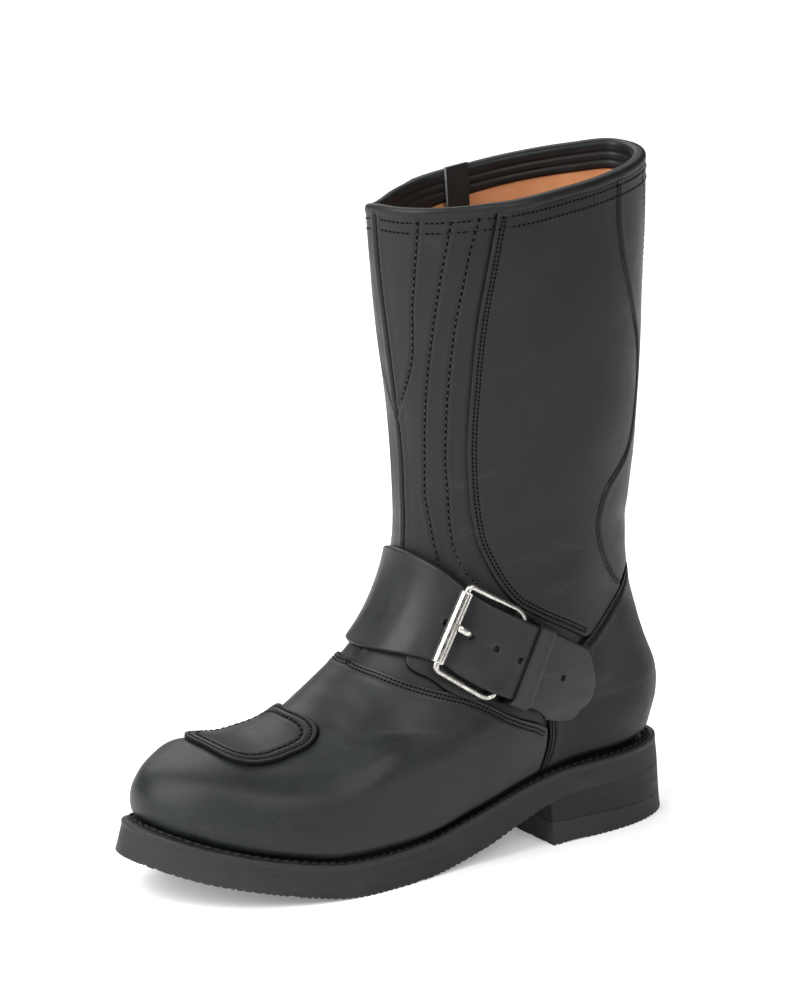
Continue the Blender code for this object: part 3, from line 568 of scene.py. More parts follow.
def blended(tree, first, first_share, second, second_share):
    """Sum of two values, each times its share."""
    return maths(tree, "ADD", maths(tree, "MULTIPLY", first, first_share),
                 maths(tree, "MULTIPLY", second, second_share))


def noise(tree, vector, scale, detail=3.0, roughness=0.55, distortion=0.0):
    """Noise from 0 to 1 over the vector's space."""
    made = put(tree, "ShaderNodeTexNoise", {"Vector": vector, "Scale": scale, "Detail": detail,
                                           "Roughness": roughness, "Distortion": distortion})
    return made.outputs["Fac"]


def stretched(tree, vector, scale):
    """Vector times a scale for each axis."""
    return put(tree, "ShaderNodeMapping", {"Vector": vector, "Scale": scale}).outputs["Vector"]


def ranged(tree, value, low, high, to_low=0.0, to_high=1.0):
    """Value moved from one range to another by an S-shaped step."""
    inputs = {"Value": value, "From Min": low, "From Max": high, "To Min": to_low, "To Max": to_high}
    return put(tree, "ShaderNodeMapRange", inputs, interpolation_type="SMOOTHSTEP").outputs["Result"]


def mixed(tree, share, first, second):
    """Colour between two colours by a share."""
    made = put(tree, "ShaderNodeMix", {0: share, 6: first, 7: second}, data_type="RGBA")
    return made.outputs[2]


def effect(name, outputs):
    """Empty node group with a Vector input and the named number outputs."""
    tree = bpy.data.node_groups.new(name, "ShaderNodeTree")
    tree.interface.new_socket("Vector", in_out="INPUT", socket_type="NodeSocketVector")
    for label in outputs:
        tree.interface.new_socket(label, in_out="OUTPUT", socket_type="NodeSocketFloat")
    enter, leave = tree.nodes.new("NodeGroupInput"), tree.nodes.new("NodeGroupOutput")
    return tree, enter.outputs["Vector"], leave


def deliver(tree, leave, values):
    """Links values to a group's named outputs."""
    for label, value in values.items():
        tree.links.new(value, leave.inputs[label])


def leather_effect():
    """Grain height from small cells and fine noise, broad clouds, and stretched rubbed streaks."""
    tree, vector, leave = effect("leather_skin", ("Height", "Cloud", "Rub"))
    cells = put(tree, "ShaderNodeTexVoronoi", {"Vector": vector, "Scale": 1250.0}, feature="SMOOTH_F1")
    fine = noise(tree, vector, 3200.0, 2.0)
    slack = noise(tree, vector, 240.0, 3.0, 0.6)
    grain = maths(tree, "MULTIPLY", cells.outputs["Distance"], 0.5)
    height = maths(tree, "ADD", grain, blended(tree, fine, 0.35, slack, 0.5))
    broad, small = noise(tree, vector, 17.0, 5.0, 0.6), noise(tree, vector, 120.0, 4.0, 0.65)
    cloud = blended(tree, broad, 0.75, small, 0.25)
    streaks = noise(tree, stretched(tree, vector, (30.0, 22.0, 75.0)), 1.0, 6.0, 0.72, 0.8)
    specks = noise(tree, vector, 420.0, 2.0, 0.5)
    rub = maths(tree, "ADD", ranged(tree, streaks, 0.57, 0.78),
                maths(tree, "MULTIPLY", ranged(tree, specks, 0.72, 0.80), 0.8), clamp=True)
    deliver(tree, leave, {"Height": height, "Cloud": ranged(tree, cloud, 0.30, 0.70), "Rub": rub})
    return tree


def rubber_effect():
    """Moulded rubber: fine pits, faint level streaks and dusty clouds."""
    tree, vector, leave = effect("rubber_skin", ("Height", "Cloud"))
    pits = noise(tree, vector, 1500.0, 3.0, 0.6)
    level = noise(tree, stretched(tree, vector, (18.0, 18.0, 520.0)), 1.0, 4.0, 0.65)
    height = blended(tree, pits, 0.55, level, 0.6)
    cloud = blended(tree, level, 0.5, noise(tree, vector, 42.0, 5.0, 0.65), 0.5)
    deliver(tree, leave, {"Height": height, "Cloud": ranged(tree, cloud, 0.30, 0.70)})
    return tree


def metal_effect():
    """Handled plating: soft dull patches and hair scratches."""
    tree, vector, leave = effect("metal_wear", ("Height", "Dull"))
    patch = noise(tree, vector, 260.0, 5.0, 0.65)
    hair = noise(tree, stretched(tree, vector, (900.0, 240.0, 240.0)), 4.0, 3.0, 0.6)
    dull = blended(tree, patch, 0.65, hair, 0.35)
    deliver(tree, leave, {"Height": hair, "Dull": ranged(tree, dull, 0.36, 0.66)})
    return tree


LEATHER_SKIN, RUBBER_SKIN, METAL_WEAR = leather_effect(), rubber_effect(), metal_effect()
print("shared effects:", [tree.name for tree in (LEATHER_SKIN, RUBBER_SKIN, METAL_WEAR)])

# %% [markdown]
# Each finish then picks its colours from dark to light, its roughness span and the depth of
# its grain. Values that are the same all over are set on the shader's own sockets.

# %% Finishes


def finish_start(name, effect_tree):
    """Material with its shader, and the effect fed by Object coordinates."""
    made = bpy.data.materials.new(name)
    made.use_nodes = True
    tree = made.node_tree
    shader = tree.nodes["Principled BSDF"]
    where = put(tree, "ShaderNodeTexCoord", {}).outputs["Object"]
    skin = put(tree, "ShaderNodeGroup", {}, node_tree=effect_tree)
    tree.links.new(where, skin.inputs["Vector"])
    return made, tree, shader, skin.outputs


LEATHER_BUMP, RUBBER_BUMP, METAL_BUMP, SCRATCH_DEPTH = 0.55, 0.6, 0.25, 0.05


def finish_end(tree, shader, colour, share, rough, height, strength, depth):
    """Links the colour, the roughness by its share, and the height as bump."""
    tree.links.new(colour, shader.inputs["Base Color"])
    tree.links.new(ranged(tree, share, 0.0, 1.0, *rough), shader.inputs["Roughness"])
    bump = put(tree, "ShaderNodeBump", {"Height": height, "Strength": strength, "Distance": depth * MM})
    tree.links.new(bump.outputs["Normal"], shader.inputs["Normal"])


def leather(name, dark, light, rubbed, rub_share, rough, grain, specular=0.4):
    """Oiled leather: cloudy colour, rubbed streaks, roughness from the clouds, grain as bump."""
    made, tree, shader, skin = finish_start(name, LEATHER_SKIN)
    colour = mixed(tree, skin["Cloud"], (*dark, 1.0), (*light, 1.0))
    colour = mixed(tree, maths(tree, "MULTIPLY", skin["Rub"], rub_share), colour, (*rubbed, 1.0))
    shader.inputs["Specular IOR Level"].default_value = specular
    finish_end(tree, shader, colour, skin["Cloud"], rough, skin["Height"], LEATHER_BUMP, grain)
    return made


def rubber(name, dark, light, rough, pits, specular=0.35):
    """Rubber, threads, dark edge bands of dye and painted shade, and spots of painted shade at stitch holes:
    dusty colour and roughness, pits as bump.
    """
    made, tree, shader, skin = finish_start(name, RUBBER_SKIN)
    colour = mixed(tree, skin["Cloud"], (*dark, 1.0), (*light, 1.0))
    shader.inputs["Specular IOR Level"].default_value = specular
    finish_end(tree, shader, colour, skin["Cloud"], rough, skin["Height"], RUBBER_BUMP, pits)
    return made


def plated(name, bright, dull, rough):
    """Plated metal: bright to dull colour and roughness, hair scratches as bump."""
    made, tree, shader, skin = finish_start(name, METAL_WEAR)
    colour = mixed(tree, skin["Dull"], (*bright, 1.0), (*dull, 1.0))
    shader.inputs["Metallic"].default_value = 1.0
    finish_end(tree, shader, colour, skin["Dull"], rough, skin["Height"], METAL_BUMP, SCRATCH_DEPTH)
    return made


BLACK_OILED = leather("black_oiled_leather", (0.0036, 0.0045, 0.0048), (0.0092, 0.0108, 0.0112),
                      (0.050, 0.053, 0.054), 0.26, (0.38, 0.54), 0.14, 0.27)
# The counter's copy of the oiled leather is darker: painted shade round the heel.
COUNTER_PAINTED_SHADE = leather("counter_leather_painted_shade", (0.0020, 0.0027, 0.0029), (0.0054, 0.0066, 0.0069),
                        (0.040, 0.042, 0.043), 0.22, (0.42, 0.58), 0.14, 0.22)
# The vamp's copy of the oiled leather is lighter: painted light on the toe and its low sides.
VAMP_PAINTED_LIGHT = leather("vamp_leather_painted_light", (0.0066, 0.0079, 0.0083), (0.0146, 0.0168, 0.0174),
                     (0.060, 0.063, 0.064), 0.28, (0.38, 0.54), 0.14, 0.28)
STRAP_OILED = leather("strap_oiled_leather", (0.0068, 0.0081, 0.0085), (0.0142, 0.0162, 0.0167),
                      (0.060, 0.062, 0.062), 0.28, (0.38, 0.50), 0.10, 0.32)
# Black leather of the facing and the pull strap; on the buckle tab the same dark colour is painted shade
# under the strap.
BLACK_FACING_AND_SHADE = leather("facing_and_painted_shade_leather", (0.0045, 0.005, 0.005), (0.009, 0.0096, 0.0098),
                       (0.03, 0.03, 0.03), 0.25, (0.45, 0.60), 0.16, 0.3)
LINING_TAN = leather("lining_tan", (0.46, 0.19, 0.078), (0.60, 0.285, 0.135),
                     (0.66, 0.37, 0.20), 0.5, (0.6, 0.75), 0.16, 0.3)
CUT_EDGE = leather("cut_edge_leather", (0.10, 0.10, 0.098), (0.17, 0.168, 0.16),
                   (0.2, 0.2, 0.2), 0.3, (0.6, 0.75), 0.2, 0.3)
STACK_DARK = rubber("stacked_heel", (0.0034, 0.0038, 0.0040), (0.0100, 0.0105, 0.0108), (0.55, 0.75), 0.40)
SOLE_RUBBER = rubber("sole_rubber", (0.0062, 0.0069, 0.0074), (0.0215, 0.0228, 0.0236), (0.58, 0.74), 0.40)
WELT_RUBBER = rubber("welt_rubber", (0.0085, 0.0092, 0.0096), (0.0185, 0.0195, 0.020), (0.48, 0.64), 0.22)
THREAD_BLACK = rubber("black_thread", (0.004, 0.0043, 0.0045), (0.010, 0.0105, 0.0108),
                      (0.45, 0.60), 0.10, 0.20)
# Thread of the fancy rows, lighter than the black thread: partly its own grey, partly painted highlight.
THREAD_GREY_AND_HIGHLIGHT = rubber("grey_thread_and_painted_highlight", (0.010, 0.0106, 0.011), (0.026, 0.027, 0.028), (0.36, 0.50), 0.10)
# Dark edge of the panels: partly the dye of a cut edge, partly painted shade in the crevice along it.
EDGE_DYE_AND_SHADE = rubber("edge_dye_and_painted_shade", (0.0024, 0.0026, 0.0027), (0.005, 0.0053, 0.0055), (0.6, 0.75), 0.10, 0.08)
# Near-black spots without sheen at each stitch hole: painted shade in the holes.
STITCH_SHADE = rubber("painted_shade_stitch_spot", (0.0012, 0.0012, 0.0013), (0.0024, 0.0024, 0.0025), (0.8, 0.9), 0.05, 0.02)
NICKEL = plated("worn_nickel", (0.66, 0.64, 0.60), (0.34, 0.325, 0.30), (0.14, 0.36))
print("finishes:", len(bpy.data.materials))


def dress(obj, material, slot, *nodes):
    """Gives a piece its finish and its body, and hides the CAD nodes that it stands for; its slot is not
    used.
    """
    if obj.data.materials:
        obj.data.materials[0] = material
    else:
        obj.data.materials.append(material)
    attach(obj, "root")
    if nodes:
        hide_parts(*nodes)
    triangles = sum(len(face.vertices) - 2 for face in obj.data.polygons)
    print(f"{obj.name}: {triangles} triangles")
    return obj


# %% [markdown]
# The shell of the upper comes first. Its grid is fine where the front of the shaft shows and
# coarse where panels cover it. The front seam is a sharp valley between two puffed lips.
# Three rows of fancy stitching run down each side of the front. An even grid could hold them
# too, but would spend most of its faces where nothing shows.

# %% Shell of the upper
FANCY_ROWS = (
    ((14.95, 0.160), (14.20, 0.130), (13.88, 0.115), (13.45, 0.100), (13.25, 0.085), (13.05, 0.060),
     (12.70, 0.004)),
    ((14.94, 0.247), (14.14, 0.200), (13.66, 0.170), (13.30, 0.147), (12.90, 0.127), (12.48, 0.110),
     (11.94, 0.100), (11.66, 0.110), (11.26, 0.133), (10.88, 0.163)),
    ((14.95, 0.315), (14.55, 0.285), (14.05, 0.255), (13.75, 0.235), (13.30, 0.210), (12.83, 0.190),
     (12.28, 0.175), (11.90, 0.180), (11.53, 0.185), (11.15, 0.205), (10.80, 0.250), (10.58, 0.295)),
)
SIDES = (1.0, -1.0)
SEAM_VALLEY, VALLEY_HALF, SEAM_LIP, LIP_AT, LIP_HALF = 1.7, 0.75, 0.45, 2.6, 1.8
STITCH_GROOVE, STITCH_PUFF, GROOVE_HALF, PUFF_AT, PUFF_HALF = 0.38, 0.16, 0.8, 2.1, 1.1
FANCY_GROOVE, FANCY_PUFF, EDGE_VALLEY, EDGE_HALF = 0.55, 0.26, 0.45, 0.9


def curve(rows, side, count=170):
    """Smooth line through level and turn places, mirrored to the inner side for side -1."""
    line = dict(table(("level", "turn"), rows), at=np.arange(len(rows), dtype=float))
    at = np.linspace(0, len(rows) - 1, count)
    return smooth(line, "at", "level", at), side * smooth(line, "at", "turn", at)


def mm_levels(low, high, share):
    """Levels between two levels at even shares of the height between them."""
    ends = np.interp([low, high], LEVELS, UPPER["height"])
    return np.interp(ends[0] + (ends[1] - ends[0]) * share, UPPER["height"], LEVELS)


def sewn(base, seams, groove=STITCH_GROOVE, puff=STITCH_PUFF):
    """Pull of stitch rows: a narrow valley along the row and a low swell on both sides."""
    total = np.zeros(base.shape[:-1])
    for level, turn in seams:
        gap = distance(base, surface(level, turn))
        swell = puff * np.exp(-((gap - PUFF_AT) / PUFF_HALF) ** 2)
        total += swell - groove * np.exp(-(gap / GROOVE_HALF) ** 2)
    return total


FANCY = [curve(rows, side) for rows in FANCY_ROWS for side in SIDES]
FRONT_SEAM = (np.linspace(9.3, TOP, 120), np.zeros(120))


def shell_points():
    """Rings of the shell from the feather edge to the collar, and back down its inner face."""
    level = np.concatenate([np.arange(0.0, 8.1, 0.5), mm_levels(8.25, TOP, np.linspace(0, 1, 152))])[:, None]
    near = np.concatenate([np.arange(-0.42, -0.009, 0.0046), [-0.0070, -0.0046, -0.0030, -0.0019, -0.0010],
                           [0.0, 0.0010, 0.0019, 0.0030, 0.0046, 0.0070], np.arange(0.0098, 0.421, 0.0046)])
    turn = np.concatenate([near, np.linspace(0.44, 1.56, 58)])[None]
    base, out = surface(level, turn), normal(level, turn)
    seam = distance(base, surface(*FRONT_SEAM))
    height = relief(base) + sewn(base, FANCY, FANCY_GROOVE, FANCY_PUFF)
    for side in SIDES:
        level_edge = np.linspace(*PANEL_FRONT["level"][[0, -1]], 160)
        edge = surface(level_edge, side * smooth(PANEL_FRONT, "level", "turn", level_edge))
        height -= EDGE_VALLEY * np.exp(-(distance(base, edge) / EDGE_HALF) ** 2)
    height += SEAM_LIP * np.exp(-((seam - LIP_AT) / LIP_HALF) ** 2)
    height -= SEAM_VALLEY * np.exp(-(seam / VALLEY_HALF) ** 2)
    inner = np.linspace(TOP, 0.0, 24)[:, None]
    inside = surface(inner, turn) - normal(inner, turn) * WALL
    return np.concatenate([base + out * height[..., None], inside])


dress(closed_ring("upper_leather", shell_points()), BLACK_OILED, "upper_leather", "upper")

# %% [markdown]
# Panels are cut leather laid on the shell. One function makes any of them from its grid of
# levels and turns: it rolls the cut edge, follows the folds and sinks the stitch rows. Panels
# could be cut from the shell with a Boolean, but a grid fitted to its own edges stays clean there.

# %% Panels on the shell
PANEL_LOW, PANEL_THICK, EDGE_ROUND = 0.15, 1.65, 0.8
COUNTER_THICK, BACK_THICK = 2.10, 2.15
UNDERLAP, BUTT, DARK_EDGE_BAND = 0.022, 0.002, 0.20
SIDE_LOW, BACK_LOW, PANEL_HIGH, ROW_HIGH = 9.08, 9.86, 14.95, 14.9
LOW_EDGE, COUNTER_PEAK = FEATHER + 0.12, COUNTER_FRONT["level"][-1]


def leather_panel(name, level, turn, low, thick, seams, radius=EDGE_ROUND):
    """Solid panel: low face just over the shell, grain face rolled at the edge and sunk at seams."""
    level, turn = np.broadcast_arrays(level, turn)
    base, out = surface(level, turn), normal(level, turn)
    folds = relief(base)
    gap = distance(base, border(base))
    height = low + thick * rolled(gap, radius) + sewn(base, seams)
    made = closed_sheet(name, base + out * (height + folds)[..., None], base + out * (low + folds)[..., None])
    made.data.materials.append(BLACK_OILED)
    # The cut edge and a fifth of a millimetre of grain beside it take the dark edge finish: dye partly,
    # painted shade of the crevice partly.
    made.data.materials.append(EDGE_DYE_AND_SHADE)
    grain = np.minimum.reduce([gap[:-1, :-1], gap[:-1, 1:], gap[1:, 1:], gap[1:, :-1]]).ravel() > DARK_EDGE_BAND
    faces = np.ones(len(made.data.polygons), np.int32)
    faces[:len(grain)] = np.where(grain, 0, 1)
    made.data.polygons.foreach_set("material_index", faces)
    return made


def from_front(turn):
    """Turn measured from the front on either side."""
    return np.abs((turn + 1) % 2 - 1)


def leather_over(level, turn):
    """Thickness of the panels that lie over the shell."""
    turn = from_front(turn)
    thick = np.where(turn > smooth(PANEL_FRONT, "level", "turn", level), PANEL_LOW + PANEL_THICK, 0.0)
    return np.where(turn > smooth(BACK_EDGE, "level", "turn", level), PANEL_LOW + BACK_THICK, thick)


def climbing_rows(edge, level, side, gaps):
    """Rows inside an edge that climbs the boot; the inner side's turns run past 1."""
    turn = smooth(edge, "level", "turn", level)
    turn = turn if side > 0 else 2 - turn
    return [offset_line(level, turn, -side * gap) for gap in gaps]


def round_rows(edge, turn, gaps):
    """Rows inside an edge that runs round the boot."""
    level = smooth(edge, "turn", "level", from_front(turn))
    return [offset_line(level, turn, -gap) for gap in gaps]


SIDE_LEVELS = mm_levels(9.14, ROW_HIGH, np.linspace(0, 1, 240))
BACK_LEVELS = mm_levels(10.0, ROW_HIGH, np.linspace(0, 1, 240))
COUNTER_LEVELS = np.linspace(1.3, 8.7, 120)
SIDE_ROWS = {side: climbing_rows(PANEL_FRONT, SIDE_LEVELS, side, (2.7, 4.4)) for side in SIDES}
BACK_ROWS = sum((climbing_rows(BACK_EDGE, BACK_LEVELS, side, (2.2,)) for side in SIDES), [])
COUNTER_ROWS = round_rows(COUNTER_TOP, np.linspace(0.61, 1.39, 260), (2.5, 4.2))
for side in SIDES:
    COUNTER_ROWS += climbing_rows(COUNTER_FRONT, COUNTER_LEVELS, side, (2.0, 4.4))
VAMP_ROWS = round_rows(VAMP_TOP, np.linspace(-0.625, 0.625, 420), (2.5, 4.3))
BACK_FANCY = [(level, turn if side > 0 else 2 - turn) for side in SIDES for level, turn in [curve(
    ((14.9, 0.800), (14.3, 0.835), (13.8, 0.870), (13.4, 0.905), (13.1, 0.950), (12.9, 0.998)), 1.0)]]


def vamp_panel():
    """Vamp up to its top edge, whose level and turn are found together by a few steps half way."""
    column = 2 * spread(430.0, 1.7)[None] - 1
    top = np.full(column.shape, 5.0)
    for _ in range(8):
        reach = smooth(COUNTER_FRONT, "level", "turn", top) - BUTT
        top = (top + smooth(VAMP_TOP, "turn", "level", np.abs(column) * reach)) / 2
    level = LOW_EDGE + (top - LOW_EDGE) * spread(105.0, 1.5)[:, None]
    turn = column * (smooth(COUNTER_FRONT, "level", "turn", level) - BUTT)
    return leather_panel("vamp_leather", level, turn, PANEL_LOW, PANEL_THICK, VAMP_ROWS)


def counter_panel():
    """Counter round the heel, from one front edge to the other and up to its top edge."""
    share = spread(80.0, 1.6)[:, None]
    front = smooth(COUNTER_FRONT, "level", "turn", LOW_EDGE + (COUNTER_PEAK - LOW_EDGE) * share)
    turn = front + 2 * (1 - front) * spread(215.0, 1.7)[None]
    top = smooth(COUNTER_TOP, "turn", "level", from_front(turn))
    return leather_panel("counter_leather", LOW_EDGE + (top - LOW_EDGE) * share, turn, PANEL_LOW,
                         COUNTER_THICK, COUNTER_ROWS)


def side_panel(name, side):
    """Side panel from its front edge to under the counter or the back panel."""
    level = mm_levels(SIDE_LOW, PANEL_HIGH, spread(235.0, 1.9))[:, None]
    first = smooth(PANEL_FRONT, "level", "turn", level)
    over = np.interp(level, COUNTER_TOP["level"], COUNTER_TOP["turn"]) - BUTT
    last = np.where(level < BACK_LOW, over, smooth(BACK_EDGE, "level", "turn", level)) + UNDERLAP
    share = spread(80.0, 1.7)[None]
    turn = first + (last - first) * (share if side > 0 else 1 - share)
    return leather_panel(name, level, side * turn, PANEL_LOW, PANEL_THICK, SIDE_ROWS[side])


def back_panel():
    """Back strip between its two edges, its low end kept above the counter's top edge."""
    share = spread(215.0, 1.9)[:, None]
    row = mm_levels(BACK_LOW, PANEL_HIGH, share)
    edge = smooth(BACK_EDGE, "level", "turn", row) + BUTT
    turn = edge + 2 * (1 - edge) * spread(110.0, 1.6)[None]
    level = np.maximum(row, smooth(COUNTER_TOP, "turn", "level", from_front(turn)) + 0.08 + 0.7 * share)
    return leather_panel("back_panel_leather", level, turn, PANEL_LOW, BACK_THICK, BACK_ROWS + BACK_FANCY)


# The vamp wears the lighter copy of the leather, which is painted light.
dress(vamp_panel(), VAMP_PAINTED_LIGHT, "upper_leather", "vamp")
# The counter wears the darker copy of the leather, which is painted shade.
dress(counter_panel(), COUNTER_PAINTED_SHADE, "upper_leather", "counter")
dress(side_panel("side_panel_outer", 1.0), BLACK_OILED, "upper_leather", "side_panel_lateral")
dress(side_panel("side_panel_inner", -1.0), BLACK_OILED, "upper_leather", "side_panel_medial")
dress(back_panel(), BLACK_OILED, "upper_leather", "back_panel")

# %% [markdown]
# The toe patch and the buckle tab are rounded squares. A square grid is pressed into a
# squircle, |a|^p + |b|^p = 1, and then laid on the upper. A bevelled plate with a Shrinkwrap
# modifier could do it, but the formula also gives the stitch rows inside the patch's edge.

# %% Toe patch and buckle tab
PATCH_POWER, TAB_POWER = 3.2, 3.0
PATCH_LEVEL, PATCH_HALF_LEVEL, PATCH_HALF_TURN = 6.45, 1.11, 0.159
PATCH_BOW, PATCH_REAR_BOW, PATCH_LONG, PATCH_WIDE = 14.5, -12.5, 54.0, 48.0
PATCH_INNER, PATCH_LOW, PATCH_THICK, THICK_ROUND = 1.2, 2.2, 2.4, 1.1
TAB_TURN, TAB_HALF_TURN, TAB_MIDDLE, TAB_LOW, TAB_THICK = 0.312, 0.147, -0.37, 0.3, 3.4


def squircle(count_a, count_b, power, size_a, size_b):
    """Grid of a and b from -1 to 1 pressed into a rounded square."""
    a = (2 * spread(size_a, size_a / count_a) - 1)[:, None]
    b = (2 * spread(size_b, size_b / count_b) - 1)[None]
    a, b = np.broadcast_arrays(a, b)
    far = np.maximum(np.abs(a), np.abs(b))
    press = far / np.maximum((np.abs(a) ** power + np.abs(b) ** power) ** (1 / power), 1e-9)
    return a * press, b * press


def patch_place(a, b):
    """Level and turn on the toe; the patch bows and reaches further on the inner side."""
    turn = PATCH_HALF_TURN * b * np.where(b < 0, PATCH_INNER, 1.0)
    return PATCH_LEVEL + PATCH_HALF_LEVEL * a - (PATCH_BOW + PATCH_REAR_BOW * a) * turn ** 2, turn


def patch_row(inside, count=200):
    """Closed row inside the patch's edge."""
    angle = np.linspace(0, 2 * math.pi, count)
    a, b = np.cos(angle), np.sin(angle)
    far = (np.abs(a) ** PATCH_POWER + np.abs(b) ** PATCH_POWER) ** (1 / PATCH_POWER)
    return patch_place(a / far * (1 - 2 * inside / PATCH_LONG), b / far * (1 - 2 * inside / PATCH_WIDE))


def tab_place(a, b):
    """Level and turn of the tab, which reaches from below the strap's low edge to past its middle."""
    turn = TAB_TURN + TAB_HALF_TURN * a
    return strap_level(turn, TAB_MIDDLE + b), turn


PATCH_ROWS = [patch_row(2.0), patch_row(5.2)]
PATCH_A, PATCH_B = squircle(48, 44, PATCH_POWER, PATCH_LONG, PATCH_WIDE)
dress(leather_panel("toe_patch_leather", *patch_place(PATCH_A, PATCH_B), PATCH_LOW, PATCH_THICK, PATCH_ROWS,
                    THICK_ROUND), BLACK_OILED, "upper_leather", "toe_patch")
TAB_B, TAB_A = squircle(40, 50, TAB_POWER, 44.0, 56.0)
# The buckle tab is strap leather in the near-black facing finish: painted shade under the strap and buckle.
dress(leather_panel("buckle_tab_leather", *tab_place(TAB_A, TAB_B), TAB_LOW, TAB_THICK, [], THICK_ROUND),
      BLACK_FACING_AND_SHADE, "strap_leather", "buckle_tab")

# %% [markdown]
# The strap is one long sheet with rounded edges, a blunt tail and punched holes. The holes are
# pits in the grid itself, so the grid is half a millimetre fine along the row of holes. A
# Boolean could punch them, but pits keep the sheet whole and give each hole a pressed lip.

# %% Strap and keeper
STRAP_FIRST, STRAP_LAST, STRAP_TIP, TIP_POWER, TIP_SKEW = -0.598, 0.644, 0.062, 5.0, 0.034
STRAP_HOLES = ((0.240, 125.5), (0.313, 118.6), (0.377, 112.4), (0.437, 106.0), (0.492, 99.8), (0.553, 92.8))
STRAP_WIDE, STRAP_STEP, STRAP_ROUND, FINE_FROM = 37.0, 0.62, 1.2, 0.19
HOLE_RADIUS, HOLE_DEPTH, HOLE_SOFT = 1.35, 2.2, 0.5
HOLE_LIP, HOLE_LIP_AT, HOLE_LIP_HALF = 0.22, 2.2, 0.7
BUMP_HEIGHT, BUMP_ALONG, BUMP_ACROSS = 0.10, 61.0, 2.3
KEEPER_TURN, KEEPER_HALF = 0.4855, 0.0225
KEEPER_CLEAR, KEEPER_LEATHER, KEEPER_DROP = 0.4, 1.5, 8.6
KEEPER_CORNER, KEEPER_SIDE, KEEPER_EDGE = 2.0, 0.6, 0.35


def strap_sheet():
    """Strap from its inner end to its tail; the grid is finest along the holes and at the tail."""
    tail = STRAP_LAST - STRAP_TIP
    turn = np.concatenate([np.linspace(STRAP_FIRST, FINE_FROM, 120, endpoint=False),
                           np.linspace(FINE_FROM, tail, 180, endpoint=False),
                           tail + STRAP_TIP * np.sin(np.linspace(0, math.pi / 2, 44))])[None]
    past = np.clip((turn - tail) / STRAP_TIP, 0, 1)
    across = (2 * spread(STRAP_WIDE, STRAP_STEP) - 1)[:, None] * (1 - past ** TIP_POWER) ** (1 / TIP_POWER)
    turn = turn - TIP_SKEW * past * across
    level = strap_level(turn, across)
    out = normal(level, turn)
    base = surface(level, turn) + out * smooth(STRAP, "turn", "lift", turn)[..., None]
    height = STRAP_LEATHER * rolled(distance(base, border(base)), STRAP_ROUND)
    hole_turn, hole_height = np.array(STRAP_HOLES).T
    centres = lifted(level_at(hole_height, hole_turn), hole_turn, smooth(STRAP, "turn", "lift", hole_turn))
    gap = np.sqrt(((base[:, :, None] - centres) ** 2).sum(-1)).min(-1)
    height -= HOLE_DEPTH * ease((HOLE_RADIUS - gap) / HOLE_SOFT + 0.5)
    height += HOLE_LIP * np.exp(-((gap - HOLE_LIP_AT) / HOLE_LIP_HALF) ** 2)
    height += BUMP_HEIGHT * np.sin(turn * BUMP_ALONG) * np.cos(across * BUMP_ACROSS)
    return closed_sheet("instep_strap_leather", base + out * height[..., None], base)


def keeper_sheet():
    """Loop over the strap: up one edge, across the top and down the other, with round corners."""
    turn = KEEPER_TURN + KEEPER_HALF * np.linspace(-1, 1, 13)
    half = np.linalg.norm(strap_point(turn, 1.0, 0.0) - strap_point(turn, -1.0, 0.0), axis=-1) / 2
    corner = np.linspace(0, math.pi / 2, 9)
    radius, top = KEEPER_CORNER, STRAP_LEATHER + KEEPER_CLEAR
    turned = np.concatenate([[0.0], corner, corner + math.pi / 2, [math.pi]])
    sideways, upwards = -np.cos(turned), np.sin(turned)
    centre_up = np.full(20, top - radius)
    centre_up[[0, -1]] -= KEEPER_DROP
    reach = np.where(np.arange(20) < 10, -1.0, 1.0)[:, None] * (half + KEEPER_SIDE - radius)[None]
    grown = []
    for extra in (KEEPER_LEATHER, 0.0):
        mm = reach + (sideways * (radius + extra))[:, None]
        above = (centre_up + upwards * (radius + extra))[:, None]
        edge = KEEPER_EDGE * (extra > 0) * (np.abs(np.linspace(-1, 1, 13)) > 0.99)
        grown.append(strap_point(turn[None], mm / half, above - edge))
    return closed_sheet("keeper_leather", *grown)


dress(strap_sheet(), STRAP_OILED, "strap_leather", "instep_strap")
dress(keeper_sheet(), STRAP_OILED, "strap_leather", "strap_keeper")

# %% [markdown]
# The buckle is bent wire: a frame with soft corners, a tube that rolls on its front bar and a
# prong. A wire is a circle swept along its path, held upright by the strap's outward direction.
# A curve with a round bevel could make the frame, but the prong is flatter than round and tapers.

# %% Buckle
ROLLER_TURN, BASE_TURN, ROLLER_ABOVE, BASE_BELOW = 0.267, 0.435, 6.4, 3.7
SIDE_CLEAR, WIRE_R, ROLLER_R, ROLLER_INSET = 1.7, 1.7, 3.5, 3.3
FRAME_CORNERS = (3.0, 3.0, 8.0, 8.0)
PRONG = (
    (0.392, 5.7), (0.357, 5.4), (0.325, 5.8), (0.307, 8.4), (0.302, 12.0), (0.293, 14.6), (0.279, 15.8),
    (0.268, 15.9),
)
PRONG_HALF_WIDE, PRONG_HALF_THICK, PRONG_CLEAR, PRONG_POINT = 1.9, 1.3, 0.6, 0.955
ROLLER_SEAM, ROLLER_SEAM_AT, ROLLER_SEAM_HALF, ROLLER_PLAY = 0.45, 1.45, 0.13, 0.25
ROLLER_LIP, ROLLER_LIP_RUN = 0.45, 0.3


def bar_ends(turn, above):
    """Low and high end of a cross bar of the frame."""
    half = np.linalg.norm(strap_point(turn, 1.0, 0.0) - strap_point(turn, -1.0, 0.0)) / 2
    reach = 1 + (SIDE_CLEAR + WIRE_R) / half
    return strap_point(turn, -reach, above), strap_point(turn, reach, above)


